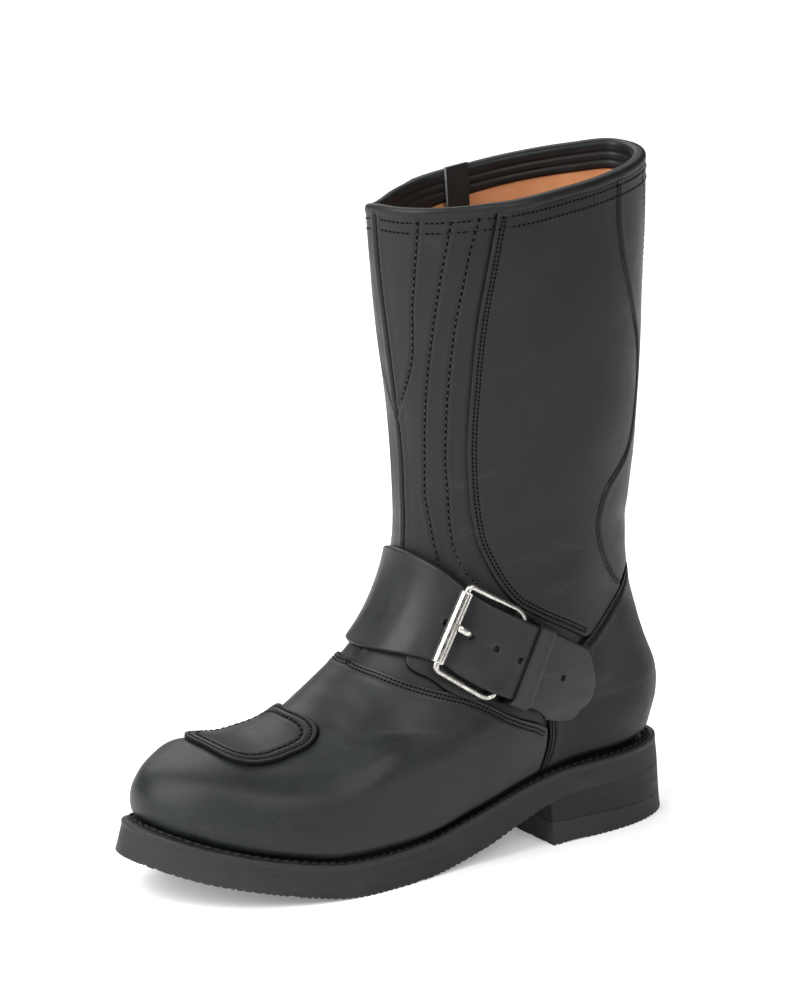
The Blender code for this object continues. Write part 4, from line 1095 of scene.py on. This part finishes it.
def rounded_loop(corners, radii, count=12):
    """Closed path with each corner replaced by a parabola between its two tangent points."""
    t = np.linspace(0, 1, count)[:, None]
    pieces = []
    for k, radius in enumerate(radii):
        spot, before, after = corners[k], corners[k - 1], corners[(k + 1) % len(radii)]
        start, end = spot + unit(before - spot) * radius, spot + unit(after - spot) * radius
        pieces.append((1 - t) ** 2 * start + 2 * t * (1 - t) * spot + t * t * end)
    return np.concatenate(pieces)


def refined(path, step, closed):
    """Path with points at an even step."""
    path = np.concatenate([path, path[:1]]) if closed else path
    run = run_of(path)
    where = np.linspace(0, run[-1], int(run[-1] / step) + 1)
    return at_run(where[:-1] if closed else where, run, path)


def swept(name, path, up, wide, thick, closed, sides=20):
    """Ellipse swept along a path; an open path ends in points."""
    if closed:
        run = unit(np.roll(path, -1, 0) - np.roll(path, 1, 0))
    else:
        run = unit(np.gradient(path, axis=0))
    side = unit(np.cross(run, up))
    up = np.cross(side, run)
    angle = np.arange(sides) * 2 * math.pi / sides
    wide, thick = (np.broadcast_to(size, len(path))[:, None, None] for size in (wide, thick))
    cosine, sine = np.cos(angle)[:, None], np.sin(angle)[:, None]
    rings = path[:, None] + side[:, None] * cosine * wide + up[:, None] * sine * thick
    if closed:
        return closed_ring(name, rings)
    rings = np.concatenate([np.repeat(path[:1, None], sides, 1), rings, np.repeat(path[-1:, None], sides, 1)])
    return closed_ring(name, rings, joined=False)


ROLLER_BAR, BASE_BAR = bar_ends(ROLLER_TURN, ROLLER_ABOVE), bar_ends(BASE_TURN, -BASE_BELOW)
BUCKLE_OUT = unit(np.cross(BASE_BAR[0] - ROLLER_BAR[0], ROLLER_BAR[1] - ROLLER_BAR[0]))
if BUCKLE_OUT[0] < 0:
    BUCKLE_OUT = -BUCKLE_OUT


def buckle_frame():
    """Wire round the four ends of the two bars, with soft corners."""
    corners = [ROLLER_BAR[0], ROLLER_BAR[1], BASE_BAR[1], BASE_BAR[0]]
    path = refined(rounded_loop(corners, FRAME_CORNERS), 0.9, True)
    return swept("buckle_frame_nickel", path, BUCKLE_OUT, WIRE_R, WIRE_R, True)


def buckle_roller(sides=64):
    """Tube round the front bar: rounded outer face, open ends, and one seam line along it."""
    low, high = ROLLER_BAR
    axis = unit(high - low)
    length = np.linalg.norm(high - low) - 2 * ROLLER_INSET
    lip = np.array([0.0, 0.15, 0.5])
    along = np.concatenate([lip, np.linspace(1.0, length - 1.0, 12), length - lip[::-1]])
    radius = ROLLER_R - ROLLER_LIP * np.exp(-np.minimum(along, length - along) / ROLLER_LIP_RUN)
    radius = np.concatenate([radius, np.full(len(along), WIRE_R + ROLLER_PLAY)])
    along = np.concatenate([along, along[::-1]])
    side = unit(np.cross(axis, BUCKLE_OUT))
    angle = np.arange(sides) * 2 * math.pi / sides
    from_seam = np.angle(np.exp(1j * (angle - ROLLER_SEAM_AT)))
    dent = ROLLER_SEAM * np.exp(-(from_seam / ROLLER_SEAM_HALF) ** 2)
    size = radius[:, None] - dent[None] * (radius[:, None] > WIRE_R + 0.5)
    ring = BUCKLE_OUT * np.sin(angle)[:, None] + side * np.cos(angle)[:, None]
    middle = low + axis * (along + ROLLER_INSET)[..., None, None]
    return closed_ring("buckle_roller_nickel", middle + ring[None] * size[..., None])


def buckle_prong():
    """Flattened wire from the base bar over the strap to the roller, tapered at its point."""
    back = unit(sum(ROLLER_BAR) - sum(BASE_BAR))
    start = sum(BASE_BAR) / 2 - back * (WIRE_R + PRONG_CLEAR)
    turn, height = np.array(PRONG).T
    path = np.concatenate([[start], lifted(strap_level(turn, 0.0), turn, height)])
    at = np.linspace(0, 1, len(path))
    line = dict(x=path[:, 0], y=path[:, 1], z=path[:, 2], at=at)
    fine = np.linspace(0, 1, 60)
    path = np.stack([smooth(line, "at", axis, fine) for axis in "xyz"], -1)
    past = np.clip((fine - PRONG_POINT) / (1 - PRONG_POINT), 0, 1)
    swell = np.sqrt(np.clip(1 - past ** 2, 0.03, 1))
    return swept("buckle_prong_nickel", path, BUCKLE_OUT, PRONG_HALF_WIDE * swell,
                 PRONG_HALF_THICK * swell, False)


dress(buckle_frame(), NICKEL, "buckle_metal", "buckle_frame")
dress(buckle_roller(), NICKEL, "buckle_metal", "buckle_roller")
dress(buckle_prong(), NICKEL, "buckle_metal", "buckle_prong")

# %% [markdown]
# Round the top the edge is bound with a soft rolled bead. Inside, a black facing band is sewn
# over a tan lining, and a pull strap hangs on the inner side. All of them could be modelled by
# hand, but here they are rings and sheets at a distance inside the upper, so they fit its wall.

# %% Collar, facing, lining, pull strap and insole
AROUND = np.linspace(-1, 1, 300, endpoint=False)
COLLAR_PROUD, COLLAR_INSIDE, COLLAR_HALF_TALL, COLLAR_MIDDLE = 0.2, 1.9, 3.1, -1.2
WIDE_POWER, TALL_POWER, SWAY_WIDE = 0.75, 0.85, 0.03
TOP_MM_PER_LEVEL, CUT_SHOWS = 45.0, 0.6
FACING_TALL, FACING_ROWS, ROW_DEPTH, ROW_HALF, LOW_ROUND = 13.0, (4.2, 8.6), 0.45, 0.8, 0.7
LINING_OUT, LINING_IN, FACING_OUT, FACING_IN, FACING_EDGE = 0.3, 0.9, 0.95, 2.3, 0.9
INSOLE_IN = WALL + 1.1
PULL_TURN, PULL_HALF, PULL_LOW, PULL_HIGH = -0.474, 0.027, -64.0, 3.8
PULL_OFF, PULL_BOW, PULL_THICK = 4.3, 1.4, 1.9
FACING_FRONT, FACING_FRONT_AT, FACING_FRONT_HALF = 6.0, -0.22, 0.20


def near_top(turn, away, height):
    """Point near the collar: down the levels below the top, straight up above it."""
    level = TOP + np.minimum(height, 0.0) / TOP_MM_PER_LEVEL
    point = lifted(level, turn, away)
    return point + np.maximum(height, 0.0)[..., None] * np.array([0.0, 0.0, 1.0])


def collar_roll():
    """Bead round the top edge, wider where panels lie under it."""
    angle = np.linspace(-0.5 * math.pi, 1.5 * math.pi, 28, endpoint=False)[:, None]
    cosine, sine = np.cos(angle), np.sin(angle)
    sway = 0.12 * np.sin(AROUND * 41.0) + 0.10 * np.sin(AROUND * 67.0 + 1.0)
    over = leather_over(np.full(len(AROUND), TOP), AROUND)
    over = np.mean([np.roll(over, k) for k in range(-2, 3)], 0)
    outer, inner = over + COLLAR_PROUD, -WALL - COLLAR_INSIDE
    wide = np.sign(cosine) * np.abs(cosine) ** WIDE_POWER * (1 + SWAY_WIDE * sway)
    tall = np.sign(sine) * np.abs(sine) ** TALL_POWER
    away = (outer + inner) / 2 + (outer - inner) / 2 * wide
    height = COLLAR_MIDDLE + COLLAR_HALF_TALL * tall + sway * (sine < 0)
    return closed_ring("collar_roll", near_top(AROUND[None], away, height))


def inside_band(name, levels, outer, inner, edge, rows=(), front=0.0):
    """Thin ring inside the leg, deeper near the front, its lower edge rounded and its rows sunk."""
    deeper = front / TOP_MM_PER_LEVEL * np.exp(-((AROUND - FACING_FRONT_AT) / FACING_FRONT_HALF) ** 2)
    down_share = (levels.max() - levels) / (levels.max() - levels.min())
    levels = levels[:, None] - down_share[:, None] * deeper[None]
    thin = inner + edge * np.exp(-(levels - levels.min(0)) * TOP_MM_PER_LEVEL / LOW_ROUND)
    for down in rows:
        thin = thin + ROW_DEPTH * np.exp(-(((TOP - levels) * TOP_MM_PER_LEVEL - down) / ROW_HALF) ** 2)
    rows = np.concatenate([lifted(levels, AROUND[None], outer), lifted(levels, AROUND[None], thin)[::-1]])
    return closed_ring(name, rows)


def pull_strap():
    """Loop on the inner side, bowed off the lining and poking up over the rim."""
    share = spread(66.0, 2.0)[:, None]
    height = PULL_LOW + (PULL_HIGH - PULL_LOW) * share
    turn = PULL_TURN + PULL_HALF * (2 * spread(17.0, 1.2) - 1)[None]
    bow = -PULL_OFF - PULL_BOW * np.sin(math.pi * share)
    turn, height = np.broadcast_arrays(turn, height)
    return closed_sheet("pull_strap_leather", near_top(turn, np.broadcast_to(bow, turn.shape), height),
                        near_top(turn, np.broadcast_to(bow - PULL_THICK, turn.shape), height))


def insole_pad():
    """Slab on the insole's plan: two grids across the foot, from toe to heel."""
    share, across = np.linspace(0, 1, 90)[:, None], np.linspace(-1, 1, 30)[None]
    edge, other = (lifted(np.zeros_like(share), turn, -INSOLE_IN) for turn in (share, -share))
    plan = (edge + other) / 2 + across[..., None] * (edge - other) / 2
    low = plan.copy()
    low[..., 2] = seat(plan[..., 1]) - WELT + GAP
    high = low + np.array([0.0, 0.0, INSOLE])
    return closed_sheet("insole_tan", high, low)


dress(collar_roll(), BLACK_OILED, "upper_leather", "collar_binding")
LINING_LEVELS = np.concatenate([np.arange(0.6, 8.0, 0.4), np.linspace(8.0, 14.9, 26)])
FACING_LEVELS = np.linspace(TOP - FACING_TALL / TOP_MM_PER_LEVEL, 14.98, 32)
LINING = inside_band("lining_tan", LINING_LEVELS, -WALL - LINING_OUT, -WALL - LINING_IN, 0.0)
dress(LINING, LINING_TAN, "insole")
FACING = inside_band("facing_band", FACING_LEVELS, -WALL - FACING_OUT, -WALL - FACING_IN, FACING_EDGE,
                     FACING_ROWS, FACING_FRONT)
dress(FACING, BLACK_FACING_AND_SHADE, "upper_leather")
loop = dress(pull_strap(), BLACK_FACING_AND_SHADE, "upper_leather", "pull_strap")
loop.data.materials.append(CUT_EDGE)
towards = np.empty(len(loop.data.polygons) * 3)
loop.data.polygons.foreach_get("normal", towards)
loop.data.polygons.foreach_set("material_index", (towards[1::3] < -CUT_SHOWS).astype(np.int32))
dress(insole_pad(), LINING_TAN, "insole", "insole")

# %% [markdown]
# The sole is a stack: welt, outsole, heel block and heel lift. The welt is a ring. The others
# are runs of closed sections from toe to heel, so one tube function makes them. The lugs are
# grooves in the underside: zigzag cross grooves that come out at the edge as small teeth, and
# long grooves. Separate lugs could be set on a plate, but moulded rubber is one piece.

# %% Welt, outsole and heel
WELT_SECTION = table(("share", "height"), [
    (0.00, -3.2), (0.00, -1.1), (0.03, -0.5), (0.10, -0.12), (0.20, 0.0), (0.36, -0.05), (0.46, -0.55),
    (0.56, -0.55), (0.66, -0.1), (0.74, -0.3), (0.82, -1.3), (0.90, -2.6), (1.5, -2.7), (1.5, -3.2),
])
LUG_PITCH, LUG_GROOVE, LUG_DEPTH, LUG_SWAY, LUG_WAVE = 3.7, 0.38, 1.5, 1.6, 6.5
LONG_PITCH, LONG_GROOVE, TOOTH_TALL = 11.0, 1.3, 2.0
LUG_DRIFT, LUG_DRIFT_WAVE, EDGE_CUT = 0.45, 0.31, 0.42
SOLE_ROWS, SOLE_ACROSS, SOLE_SIDE = 800, 46, 9
HEEL_FIRST_FLARE = 1.95
BLOCK_LAYERS, LAYER_DEPTH, LAYER_HALF = 6.0, 0.09, 0.10
STACK_GAP, LIFT_GAP, LIFT_LUGS = 0.02, 0.25, 0.9


def lugs(x, y):
    """Depth of the grooves: a zigzag wave across the sole and straight lines along it."""
    zig = np.abs((x / LUG_WAVE) % 2.0 - 1.0) * LUG_SWAY
    phase = ((y + zig + LUG_DRIFT * np.sin(LUG_DRIFT_WAVE * y)) / LUG_PITCH) % 1.0
    cross = ease((LUG_GROOVE / 2 - np.abs(phase - 0.5)) / 0.10)
    length = np.abs((x / LONG_PITCH) % 1.0 - 0.5) * LONG_PITCH
    return LUG_DEPTH * np.maximum(cross, ease((LONG_GROOVE / 2 - length) / 0.4))


def tube(name, sections, capped):
    """Solid from closed sections along the foot; a capped first section is closed flat."""
    if capped:
        flat = sections[:1].copy()
        flat[..., 2] = (sections[0, :, 2].min() + sections[0, :, 2].max()) / 2
        sections = np.concatenate([flat, sections])
    return closed_ring(name, sections, 35.0, joined=False)


def sections_of(turn, low_edge, high_edge, low, high, across, side):
    """Closed sections: along the underside, up the outer wall, back over the top, down the inner wall.

    The walls run between the low and the high plan edge, each given as a pair of grow sizes."""
    turn = turn[:, None]
    share = (np.linspace(0, 1, side + 2)[1:-1] ** 1.7)[None]
    columns = np.linspace(-1, 1, across)[None]

    def edge(sign, grow):
        """Plan of the edge on one side."""
        x, y = rim(sign * turn, *grow)
        return np.stack([x, y], -1)

    def wall(sign, up):
        """Wall at shares of its height between the two plan edges, its foot cut by the lugs."""
        plan = edge(sign, low_edge) * (1 - up[..., None]) + edge(sign, high_edge) * up[..., None]
        y = plan[..., 1]
        base, cut = low(plan[..., 0], y)
        cut = EDGE_CUT * cut * ease(1 - up * (high(y) - base) / TOOTH_TALL)
        z = (base + cut) * (1 - up) + high(y) * up
        return np.concatenate([plan, z[..., None]], -1)

    def face(grow, columns, height):
        """Run across from the inner edge to the outer one."""
        inner, outer = edge(-1.0, grow), edge(1.0, grow)
        plan = (inner + outer) / 2 + columns[..., None] * (outer - inner) / 2
        return np.concatenate([plan, height(plan)[..., None]], -1)

    def ground(plan):
        """Underside with its lugs, which are shallower close to the edge."""
        base, cut = low(plan[..., 0], plan[..., 1])
        return base + cut * (1 - (1 - EDGE_CUT) * columns ** 12)

    bottom = face(low_edge, columns, ground)
    top = face(high_edge, -columns, lambda plan: high(plan[..., 1]))
    return np.concatenate([bottom, wall(1.0, share), top, wall(-1.0, 1 - share)], 1)


def welt_edges(turn):
    """Plans of the welt's outer edge and of the upper's foot."""
    return np.stack(rim(turn, 0.0, 0.0), -1), surface(FEATHER, turn)[..., :2]


def welt_ring():
    """Section of the welt carried all the way round between its outer edge and the upper."""
    outer, inner = welt_edges(AROUND)
    share, height = WELT_SECTION["share"][:, None, None], WELT_SECTION["height"][:, None]
    plan = outer + (inner - outer) * share
    z = seat(outer[..., 1]) + height
    return closed_ring("welt_rubber", np.concatenate([plan, z[..., None]], -1))


def sole_low(x, y):
    """Underside and the cut of its lugs, which stop at the heel."""
    return tread(y), lugs(x, y) * ease((BREAST_Y - 2 - y) / 3.0)


def outsole():
    """Outsole from its lugs up to just under the welt."""
    sections = sections_of(np.linspace(0, 1, SOLE_ROWS), (TOE_FLARE, HEEL_FLARE), (0.0, 0.0), sole_low,
                           lambda y: seat(y) - WELT - STACK_GAP, SOLE_ACROSS, SOLE_SIDE)
    return tube("outsole_rubber", sections, False)


def lift_top(y):
    """Height of the lift's upper face, a straight slope from breast to back."""
    return np.interp(y, [BREAST_Y, LENGTH / 2], [LIFT_AT_BREAST, LIFT_AT_BACK])


def heel_turns(count):
    """Turns from the heel's front to its back."""
    fine = np.linspace(0.3, 1.0, 3000)
    first = fine[np.searchsorted(rim(fine, TOE_FLARE, HEEL_FIRST_FLARE)[1], BREAST_Y)]
    return np.linspace(first, 1.0, count)


def heel_block():
    """Block between lift and outsole, with shallow grooves between its layers."""
    def low(x, y):
        """Underside just over the lift, without lugs."""
        return lift_top(y) + STACK_GAP, 0.0 * y

    low_edge, high_edge = (HEEL_FIRST_FLARE, HEEL_FIRST_FLARE), (HEEL_FLARE, HEEL_FLARE)
    sections = sections_of(heel_turns(70), low_edge, high_edge, low, lambda y: tread(y) - STACK_GAP, 24, 46)
    middle = np.array([CENTRE_X, 100.0, 0.0])
    y, z = sections[..., 1], sections[..., 2]
    share = (z - lift_top(y)) / (tread(y) - lift_top(y))
    dent = LAYER_DEPTH * np.exp(-(((share * BLOCK_LAYERS) % 1.0 - 0.5) / LAYER_HALF) ** 2)
    dent = dent * (share > 0.03) * (share < 0.97)
    away = unit((sections - middle) * np.array([1.0, 1.0, 0.0]))
    return tube("heel_block_stack", sections - away * dent[..., None], True)


def heel_lift():
    """Lift with lugs on the floor."""
    def low(x, y):
        """Underside on the floor and the cut of its lugs."""
        return 0.0 * y, LIFT_LUGS * lugs(x, y) * ease((y - BREAST_Y) / 2.0)

    low_edge, high_edge = (GROUND_FLARE, GROUND_FLARE), (HEEL_FIRST_FLARE, HEEL_FIRST_FLARE)
    sections = sections_of(heel_turns(260), low_edge, high_edge, low, lambda y: lift_top(y) - LIFT_GAP, 42, 6)
    return tube("heel_lift_rubber", sections, True)


dress(welt_ring(), WELT_RUBBER, "welt", "welt")
dress(outsole(), SOLE_RUBBER, "sole_rubber", "outsole")
dress(heel_block(), STACK_DARK, "stacked_heel", "heel_block")
dress(heel_lift(), SOLE_RUBBER, "sole_rubber", "heel_lift")

# %% [markdown]
# Stitching. Every row drawn on the panels gets its threads and holes at the height of the
# leather it is sewn through. Each set gives its paths, pitch, thread radius, share of the pitch
# that the thread fills, and hole radius, the size of the spot of painted shade. Heavy black thread holds the
# welt.
# Bump in a material could hint at stitches, but real threads keep their shape as geometry.

# %% Stitch rows
SEWN_PITCH, FANCY_PITCH, COLLAR_PITCH, PATCH_PITCH, WELT_PITCH = 2.2, 3.5, 2.6, 3.6, 5.0
DOUBLE_SUNK, SEAM_SUNK, SEAM_PITCH = 0.04, 0.30, 4.0
THREAD_SHOWS, FANCY_SHOWS, COLLAR_PROUD_ROW, COLLAR_ROWS = 0.06, 0.16, 0.05, (5.6, 11.0)
WELT_ROW_AT, WELT_ROW_DOWN = 0.51, 0.35


def at_lift(lines, lift, sunk=STITCH_GROOVE - THREAD_SHOWS):
    """Paths of rows at the height of their leather, sunk into its valley."""
    return [on_upper(level, turn, lift - sunk) for level, turn in lines]


def collar_line(down):
    """Level line all the way round, some millimetres below the collar."""
    return np.full(400, TOP - down / TOP_MM_PER_LEVEL), np.linspace(-1, 1, 400)


def welt_path():
    """Line in the welt's channel, with straight up as its outward direction."""
    turn = np.linspace(-1, 1, 900)
    outer, inner = welt_edges(turn)
    plan = outer + (inner - outer) * WELT_ROW_AT
    path = np.concatenate([plan, (seat(outer[:, 1]) - WELT_ROW_DOWN)[:, None]], -1)
    return path, np.broadcast_to(np.array([0.0, 0.0, 1.0]), path.shape)


OUTER_SIDE, OUTER_COUNTER = PANEL_LOW + PANEL_THICK, PANEL_LOW + COUNTER_THICK
DOUBLE = at_lift(SIDE_ROWS[1.0] + SIDE_ROWS[-1.0] + VAMP_ROWS, OUTER_SIDE, DOUBLE_SUNK)
DOUBLE += at_lift(COUNTER_ROWS, OUTER_COUNTER, DOUBLE_SUNK) + at_lift(BACK_ROWS, PANEL_LOW + BACK_THICK)
FANCY_PATHS = at_lift(FANCY, 0.0, FANCY_GROOVE - FANCY_SHOWS) + at_lift(BACK_FANCY, PANEL_LOW + BACK_THICK)
COLLAR_LINES = [collar_line(down) for down in COLLAR_ROWS]
COLLAR_PATHS = [on_upper(*line, leather_over(*line) + COLLAR_PROUD_ROW) for line in COLLAR_LINES]
PATCH_PATHS = at_lift(PATCH_ROWS, PATCH_LOW + PATCH_THICK, DOUBLE_SUNK)
SEAM_PATH = [on_upper(*FRONT_SEAM, -SEAM_SUNK)]
DARK_SETS = (
    (DOUBLE, SEWN_PITCH, 0.30, 0.52, 0.50), (COLLAR_PATHS, COLLAR_PITCH, 0.32, 0.55, 0.56),
    (PATCH_PATHS[:1], SEWN_PITCH, 0.28, 0.52, 0.48), (PATCH_PATHS[1:], PATCH_PITCH, 0.52, 0.66, 0.80),
    (SEAM_PATH, SEAM_PITCH, 0.75, 1.0, 0.60),
)
BRIGHT_SETS = ((FANCY_PATHS, FANCY_PITCH, 0.50, 0.50, 1.20),)
DARK, BRIGHT = ([stitch_rows(rows, *sizes) for rows, *sizes in sets] for sets in (DARK_SETS, BRIGHT_SETS))
DARK_THREADS, BRIGHT_THREADS = (np.concatenate([made[0] for made in sets]) for sets in (DARK, BRIGHT))
dress(thread_mesh("seam_thread", DARK_THREADS), THREAD_BLACK, "upper_leather")
# The fancy rows' lighter thread is partly painted highlight.
dress(thread_mesh("fancy_thread", BRIGHT_THREADS), THREAD_GREY_AND_HIGHLIGHT, "upper_leather")
HOLES = np.concatenate([made[1] for made in DARK + BRIGHT])
# The spots at the stitch holes are painted shade.
dress(shade_spot_mesh("stitch_holes", HOLES), STITCH_SHADE, "upper_leather")
WELT_THREADS = stitch_rows([welt_path()], WELT_PITCH, 1.0, 0.86, 0.5)
dress(thread_mesh("welt_thread", WELT_THREADS[0]), THREAD_BLACK, "welt")

# %% [markdown]
# A pale paper floor, a long lens at the height of a table and large soft lights: the key from
# the toe side, weaker ones from both sides and overhead, and one on the floor behind the boot.
# A picture of a studio could light it too, but a few lamps are easy to move and to read.

# %% Stage, camera and lights
CAMERA_AZ, CAMERA_EL, CAMERA_FAR = 56.9055, 15.3979, 3049.2
CAMERA_PX_PER_MM, PICTURE_TALL, SENSOR = 1.99333, 1000.0, 36.0
AIM_UP, AIM_RIGHT, AIM_Y, AIM_HEIGHT = 32.36, 0.30, 0.25, 150.0
PAPER_GLOW, PAPER_REACH, ROOM_LIGHT = 0.21, 6.0, 0.10
ANKLE = (0.0, 0.0, 0.15)
LAMPS = (
    ("key_light", (0.05, -1.80, 1.41), ANKLE, 2.0, 80.0),
    ("outer_light", (1.80, 0.0, 1.41), ANKLE, 1.5, 28.0),
    ("inner_light", (-1.78, 0.16, 1.41), ANKLE, 1.5, 16.0),
    ("top_light", (0.0, 0.4, 3.2), (0.0, 0.4, 0.0), 4.0, 25.0),
    ("backdrop_light", (-1.9, 1.25, 2.2), (-1.9, 1.25, 0.0), 2.2, 24.0),
)


def floor():
    """Large square of white paper that glows a little."""
    made = bpy.data.meshes.new("paper_floor")
    corners = ((-1, -1), (1, -1), (1, 1), (-1, 1))
    made.from_pydata([(x * PAPER_REACH, y * PAPER_REACH, 0) for x, y in corners], [], [(0, 1, 2, 3)])
    obj = add_object("paper_floor", made)
    paper = bpy.data.materials.new("white_paper")
    paper.use_nodes = True
    tree = paper.node_tree
    shader = tree.nodes["Principled BSDF"]
    grain = noise(tree, put(tree, "ShaderNodeTexCoord", {}).outputs["Object"], 40.0)
    colour = mixed(tree, grain, (0.94, 0.94, 0.94, 1), (0.95, 0.95, 0.95, 1))
    tree.links.new(colour, shader.inputs["Base Color"])
    shader.inputs["Roughness"].default_value = 0.9
    shader.inputs["Specular IOR Level"].default_value = 0.1
    shader.inputs["Emission Color"].default_value = (1.0, 1.0, 1.0, 1.0)
    shader.inputs["Emission Strength"].default_value = PAPER_GLOW
    obj.data.materials.append(paper)


def aimed(obj, place, target):
    """Places a lamp or camera and turns its -Z towards a target."""
    obj.location = Vector(place)
    obj.rotation_euler = (Vector(target) - Vector(place)).to_track_quat("-Z", "Y").to_euler()


def lamp(name, place, target, size, power):
    """Square soft light aimed at a target."""
    light = bpy.data.lights.new(name, "AREA")
    light.shape, light.size, light.energy = "SQUARE", size, power
    obj = add_object(name, light)
    aimed(obj, place, target)


def camera():
    """Camera on a sphere round the boot: azimuth from the toe, elevation, and a small shift of aim."""
    az, el = math.radians(CAMERA_AZ), math.radians(CAMERA_EL)
    away = np.array([math.cos(el) * math.sin(az), -math.cos(el) * math.cos(az), math.sin(el)])
    right = np.array([math.cos(az), math.sin(az), 0.0])
    target = np.array([CENTRE_X, AIM_Y, AIM_HEIGHT])
    aim = target + np.cross(away, right) * AIM_UP + right * AIM_RIGHT
    made = bpy.data.cameras.new("photo_camera")
    made.sensor_fit, made.sensor_height = "VERTICAL", SENSOR
    made.lens = SENSOR * CAMERA_PX_PER_MM * CAMERA_FAR / PICTURE_TALL
    made.clip_start, made.clip_end = 0.1, 50.0
    obj = add_object("photo_camera", made)
    aimed(obj, (aim + away * CAMERA_FAR) * MM, aim * MM)
    bpy.context.scene.camera = obj


floor()
camera()
for light in LAMPS:
    lamp(*light)
world = bpy.data.worlds.new("white_room")
world.use_nodes = True
world.node_tree.nodes["Background"].inputs["Color"].default_value = (1.0, 1.0, 1.0, 1.0)
world.node_tree.nodes["Background"].inputs["Strength"].default_value = ROOM_LIGHT
bpy.context.scene.world = world
bpy.context.scene.view_settings.view_transform = "Standard"
print("stage ready")
